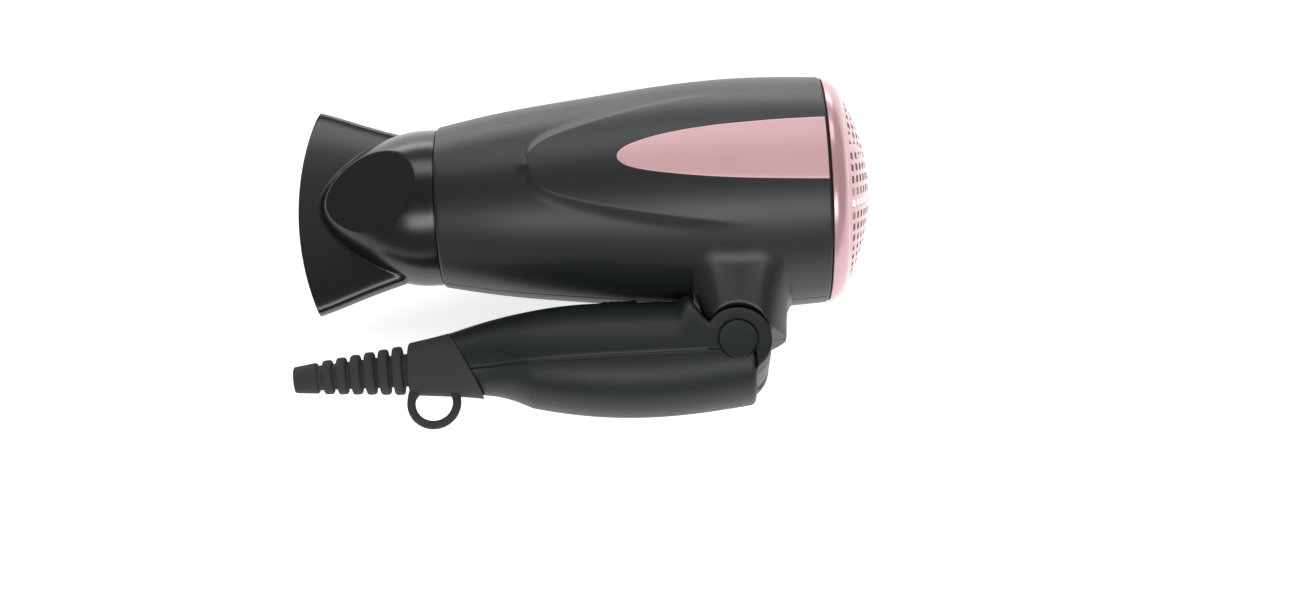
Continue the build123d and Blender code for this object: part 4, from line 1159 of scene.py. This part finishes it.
@dataclass
class CordEnd:
    """Soft rubber end: the cap on the handle, its hanging loop and the ribbed strain relief.

    Attributes:
        handle: the handle whose stations the cap carries on.
        tip: (u, v) of the strain relief's tip.
        root: (u, v) of a point on its axis at the cap.
        ribs: number of ribs.
        nose: u of the cap's nose.
        loop_middle: (u, v) of the loop's middle.
        loop_size: half length and half height of the loop's centre line.
    """

    handle: Handle
    tip: tuple = (-139.6, -55.9)
    root: tuple = (-105.0, -54.4)
    ribs: int = 6
    nose: float = -103.6
    loop_middle: tuple = (-95.9, -65.5)
    loop_size: tuple = (7.15, 7.1)

    def cap(self) -> None:
        """Rubber cap: the grip's sections from a rounded nose to the slanted seam, and the loop."""
        grip = self.handle
        t = spread((0, 0.06, 0.012), (0.06, 1, 0.03))[:, None]
        phi = circle(96)[None, :]
        guess = self.nose + t * 18.0
        for _ in range(3):
            v, w = grip.section(guess, phi)
            guess = self.nose + t * (grip.seam_u(v) - 0.08 - self.nose)
        shrink = 1 - 0.14 * (1 - np.sqrt(1 - (1 - np.clip(t / 0.06, 0, 1)) ** 2))
        centre = grip.track(guess, 1)
        surface = Surface().tube(place(guess, centre + (v - centre) * shrink, w * shrink))
        self.loop(surface)
        piece = surface.build("handle_end_cap_skin", sharp=40)
        dress(piece, SOFT_RUBBER, "handle", "soft_rubber", "handle_end_cap")

    def loop(self, surface: Surface) -> None:
        """Hanging loop: an oval ring of flattened round section, with thicker feet at the cap."""
        turn, around = circle(120)[:, None], circle(20)[None, :]
        thick = 1.35 + 0.7 * ease((np.cos(turn) - 0.1) / 0.7)
        (long, high), (u, v) = self.loop_size, self.loop_middle
        out = np.hypot(np.sin(turn) / long, np.cos(turn) / high)
        lift = thick * np.cos(around) / out
        u = u + long * np.sin(turn) + np.sin(turn) / long * lift
        v = v + high * np.cos(turn) + np.cos(turn) / high * lift
        surface.torus(place(u, v, 1.1 * thick * np.sin(around)))

    def relief(self) -> None:
        """Strain relief: a rounded tip sleeve, then ribs that grow towards the cap, with its bore."""
        tilt = np.arctan2(self.root[1] - self.tip[1], self.root[0] - self.tip[0])
        profile = [
            (0.0, 3.3), (0.0, 3.85), (0.25, 4.1), (0.7, 4.2), (6.6, 4.85), (7.2, 4.8), (7.5, 4.4), (7.7, 3.95),
        ]
        for rib in range(self.ribs):
            middle = 10.6 + rib * 4.42
            radius = 5.4 + 2.2 * rib / (self.ribs - 1)
            core = 4.0 + 0.22 * rib
            profile += [
                (middle - 1.75, core), (middle - 1.5, core + 0.4), (middle - 1.42, radius - 0.45),
                (middle - 1.0, radius - 0.06), (middle, radius + 0.02), (middle + 1.0, radius),
                (middle + 1.42, radius - 0.35), (middle + 1.5, core + 0.45), (middle + 1.75, core),
            ]
        profile += [(36.0, 5.2), (40.0, 5.2), (44.0, 4.6), (44.0, 3.3)]
        surface = Surface().lathe(profile, 96, axis_from=self.tip, tilt=float(tilt))
        piece = surface.build("strain_relief_skin", sharp=45)
        dress(piece, SOFT_RUBBER, "handle", "relief_rubber", "strain_relief")

    def build(self) -> None:
        """Build the cap with its loop, and the strain relief."""
        self.cap()
        self.relief()


# ---------- carried-over nodes


@dataclass
class InnerWorks:
    """Nodes whose shape is already right: they keep it and get a finish.

    Attributes:
        finishes: the finish of each record slot.
    """

    finishes: dict = field(default_factory=lambda: {
        "soft_shell": SOFT_TOUCH, "rose_trim": ROSE_SATIN, "rose_ring": ROSE_PEARL,
        "rose_grille": ROSE_PLATED, "filter_gauze": GAUZE, "dark_plastic": PLASTIC,
        "fan_plastic": PLASTIC, "mica": MICA, "heater_wire": STEEL, "plain_steel": STEEL,
        "ferrite": PLASTIC, "copper": COPPER, "gloss_black": GLOSS_BLACK, "soft_rubber": SOFT_RUBBER,
        "relief_rubber": SOFT_RUBBER, "switch_plastic": PLASTIC, "lead_cover": LEAD,
    })

    def build(self) -> None:
        """Dress every node by the material slot that the record gives it."""
        slots = {part["node"]: part["material_slot"] for part in frame["record"]["subparts"]}
        for name, node in frame["nodes"].items():
            made = self.finishes[slots[name]].material()
            node.data.materials.clear()
            node.data.materials.append(made)
            LOG.info("%s: carried over", name)


# ---------- studio


@dataclass
class Studio:
    """Plain pale floor, soft lights and the camera.

    Attributes:
        eye: camera place on the middle plane's axes, in millimetres.
        aim: the point that it looks at.
        roll: turn of the picture about the line of sight, in degrees.
        lens: focal length for a 36 mm wide sensor.
        floor_half: half width of the floor, in metres.
        floor_glow: strength of the floor's own light.
        ambient: strength of the surroundings' light.
        softboxes: name, place, size and power of each light, in metres and watts.
    """

    eye: tuple = (-27.9, -238.0, 594.9)
    aim: tuple = (-27.9, -29.6, -10.2)
    roll: float = 2.7
    lens: float = 55.06
    floor_half: float = 3.0
    floor_glow: float = 0.72
    ambient: float = 0.22
    softboxes: tuple = (
        ("key", (0.0, 0.72, 0.85), (1.2, 0.4), 5.0),
        ("fill", (0.05, -0.68, 0.88), (1.1, 0.36), 7.5),
        ("rim", (-0.1, 1.2, 0.13), (1.8, 0.24), 8.0),
    )

    def camera(self) -> None:
        """Camera over the dryer, leaning towards the handle's side."""
        eye, aim = place(*map(np.array, self.eye)), place(*map(np.array, self.aim))
        back = Vector(eye - aim).normalized()
        right = Vector((1, 0, 0))
        up = back.cross(right)
        turn = radians(self.roll)
        across = right * cos(turn) - up * sin(turn)
        above = right * sin(turn) + up * cos(turn)
        data = bpy.data.cameras.new("camera")
        data.lens = self.lens
        data.sensor_width = 36.0
        camera = bpy.data.objects.new("camera", data)
        camera.matrix_world = Matrix.Translation(eye) @ Matrix((across, above, back)).transposed().to_4x4()
        bpy.context.scene.collection.objects.link(camera)
        bpy.context.scene.camera = camera

    def softbox(self, name: str, at: tuple, size: tuple, power: float) -> None:
        """Rectangular soft light that looks at the dryer's middle.

        Args:
            name: the light's name.
            at: its place in metres.
            size: width and height in metres.
            power: strength in watts.
        """
        aim = (0.0, -0.02, 0.03)
        data = bpy.data.lights.new(name, "AREA")
        data.shape = "RECTANGLE"
        data.size, data.size_y = size
        data.energy = power
        light = bpy.data.objects.new(name, data)
        light.location = at
        light.rotation_euler = (Vector(aim) - Vector(at)).to_track_quat("-Z", "Y").to_euler()
        bpy.context.scene.collection.objects.link(light)

    def floor(self) -> None:
        """Wide pale floor under the dryer."""
        side = np.array([-self.floor_half, self.floor_half])
        corners = np.broadcast_arrays(side[:, None], side[None, :], np.array(-0.0002))
        floor = Surface().grid(np.stack(corners, axis=-1)).build("studio_floor")
        finish = Finish("studio_floor", (0.93, 0.93, 0.93), (0.95, 0.95, 0.95), 0.9, 0.02, depth=0.0,
                        mottle=2.0, specular=0.1).material()
        glow = finish.node_tree.nodes["Principled BSDF"]
        set_inputs(glow, Emission_Color=(1, 1, 1, 1), Emission_Strength=self.floor_glow)
        floor.data.materials.append(finish)

    def build(self) -> None:
        """Set the camera, floor, lights and surroundings."""
        self.camera()
        self.floor()
        for light in self.softboxes:
            self.softbox(*light)
        world = bpy.data.worlds.new("surroundings")
        world.use_nodes = True
        set_inputs(world.node_tree.nodes["Background"], Color=(1, 1, 1, 1), Strength=self.ambient)
        bpy.context.scene.world = world
        bpy.context.scene.view_settings.view_transform = "Standard"


def main() -> None:
    """Build the studio, then each sub-assembly of the dryer."""
    logging.basicConfig(level=logging.INFO, format="%(message)s")
    handle = Handle()
    for assembly in (Studio(), Barrel(), AirInlet(), Nozzle(), handle, CordEnd(handle), InnerWorks()):
        LOG.info("building %s", type(assembly).__name__)
        assembly.build()


if __name__ == "__main__":
    main()
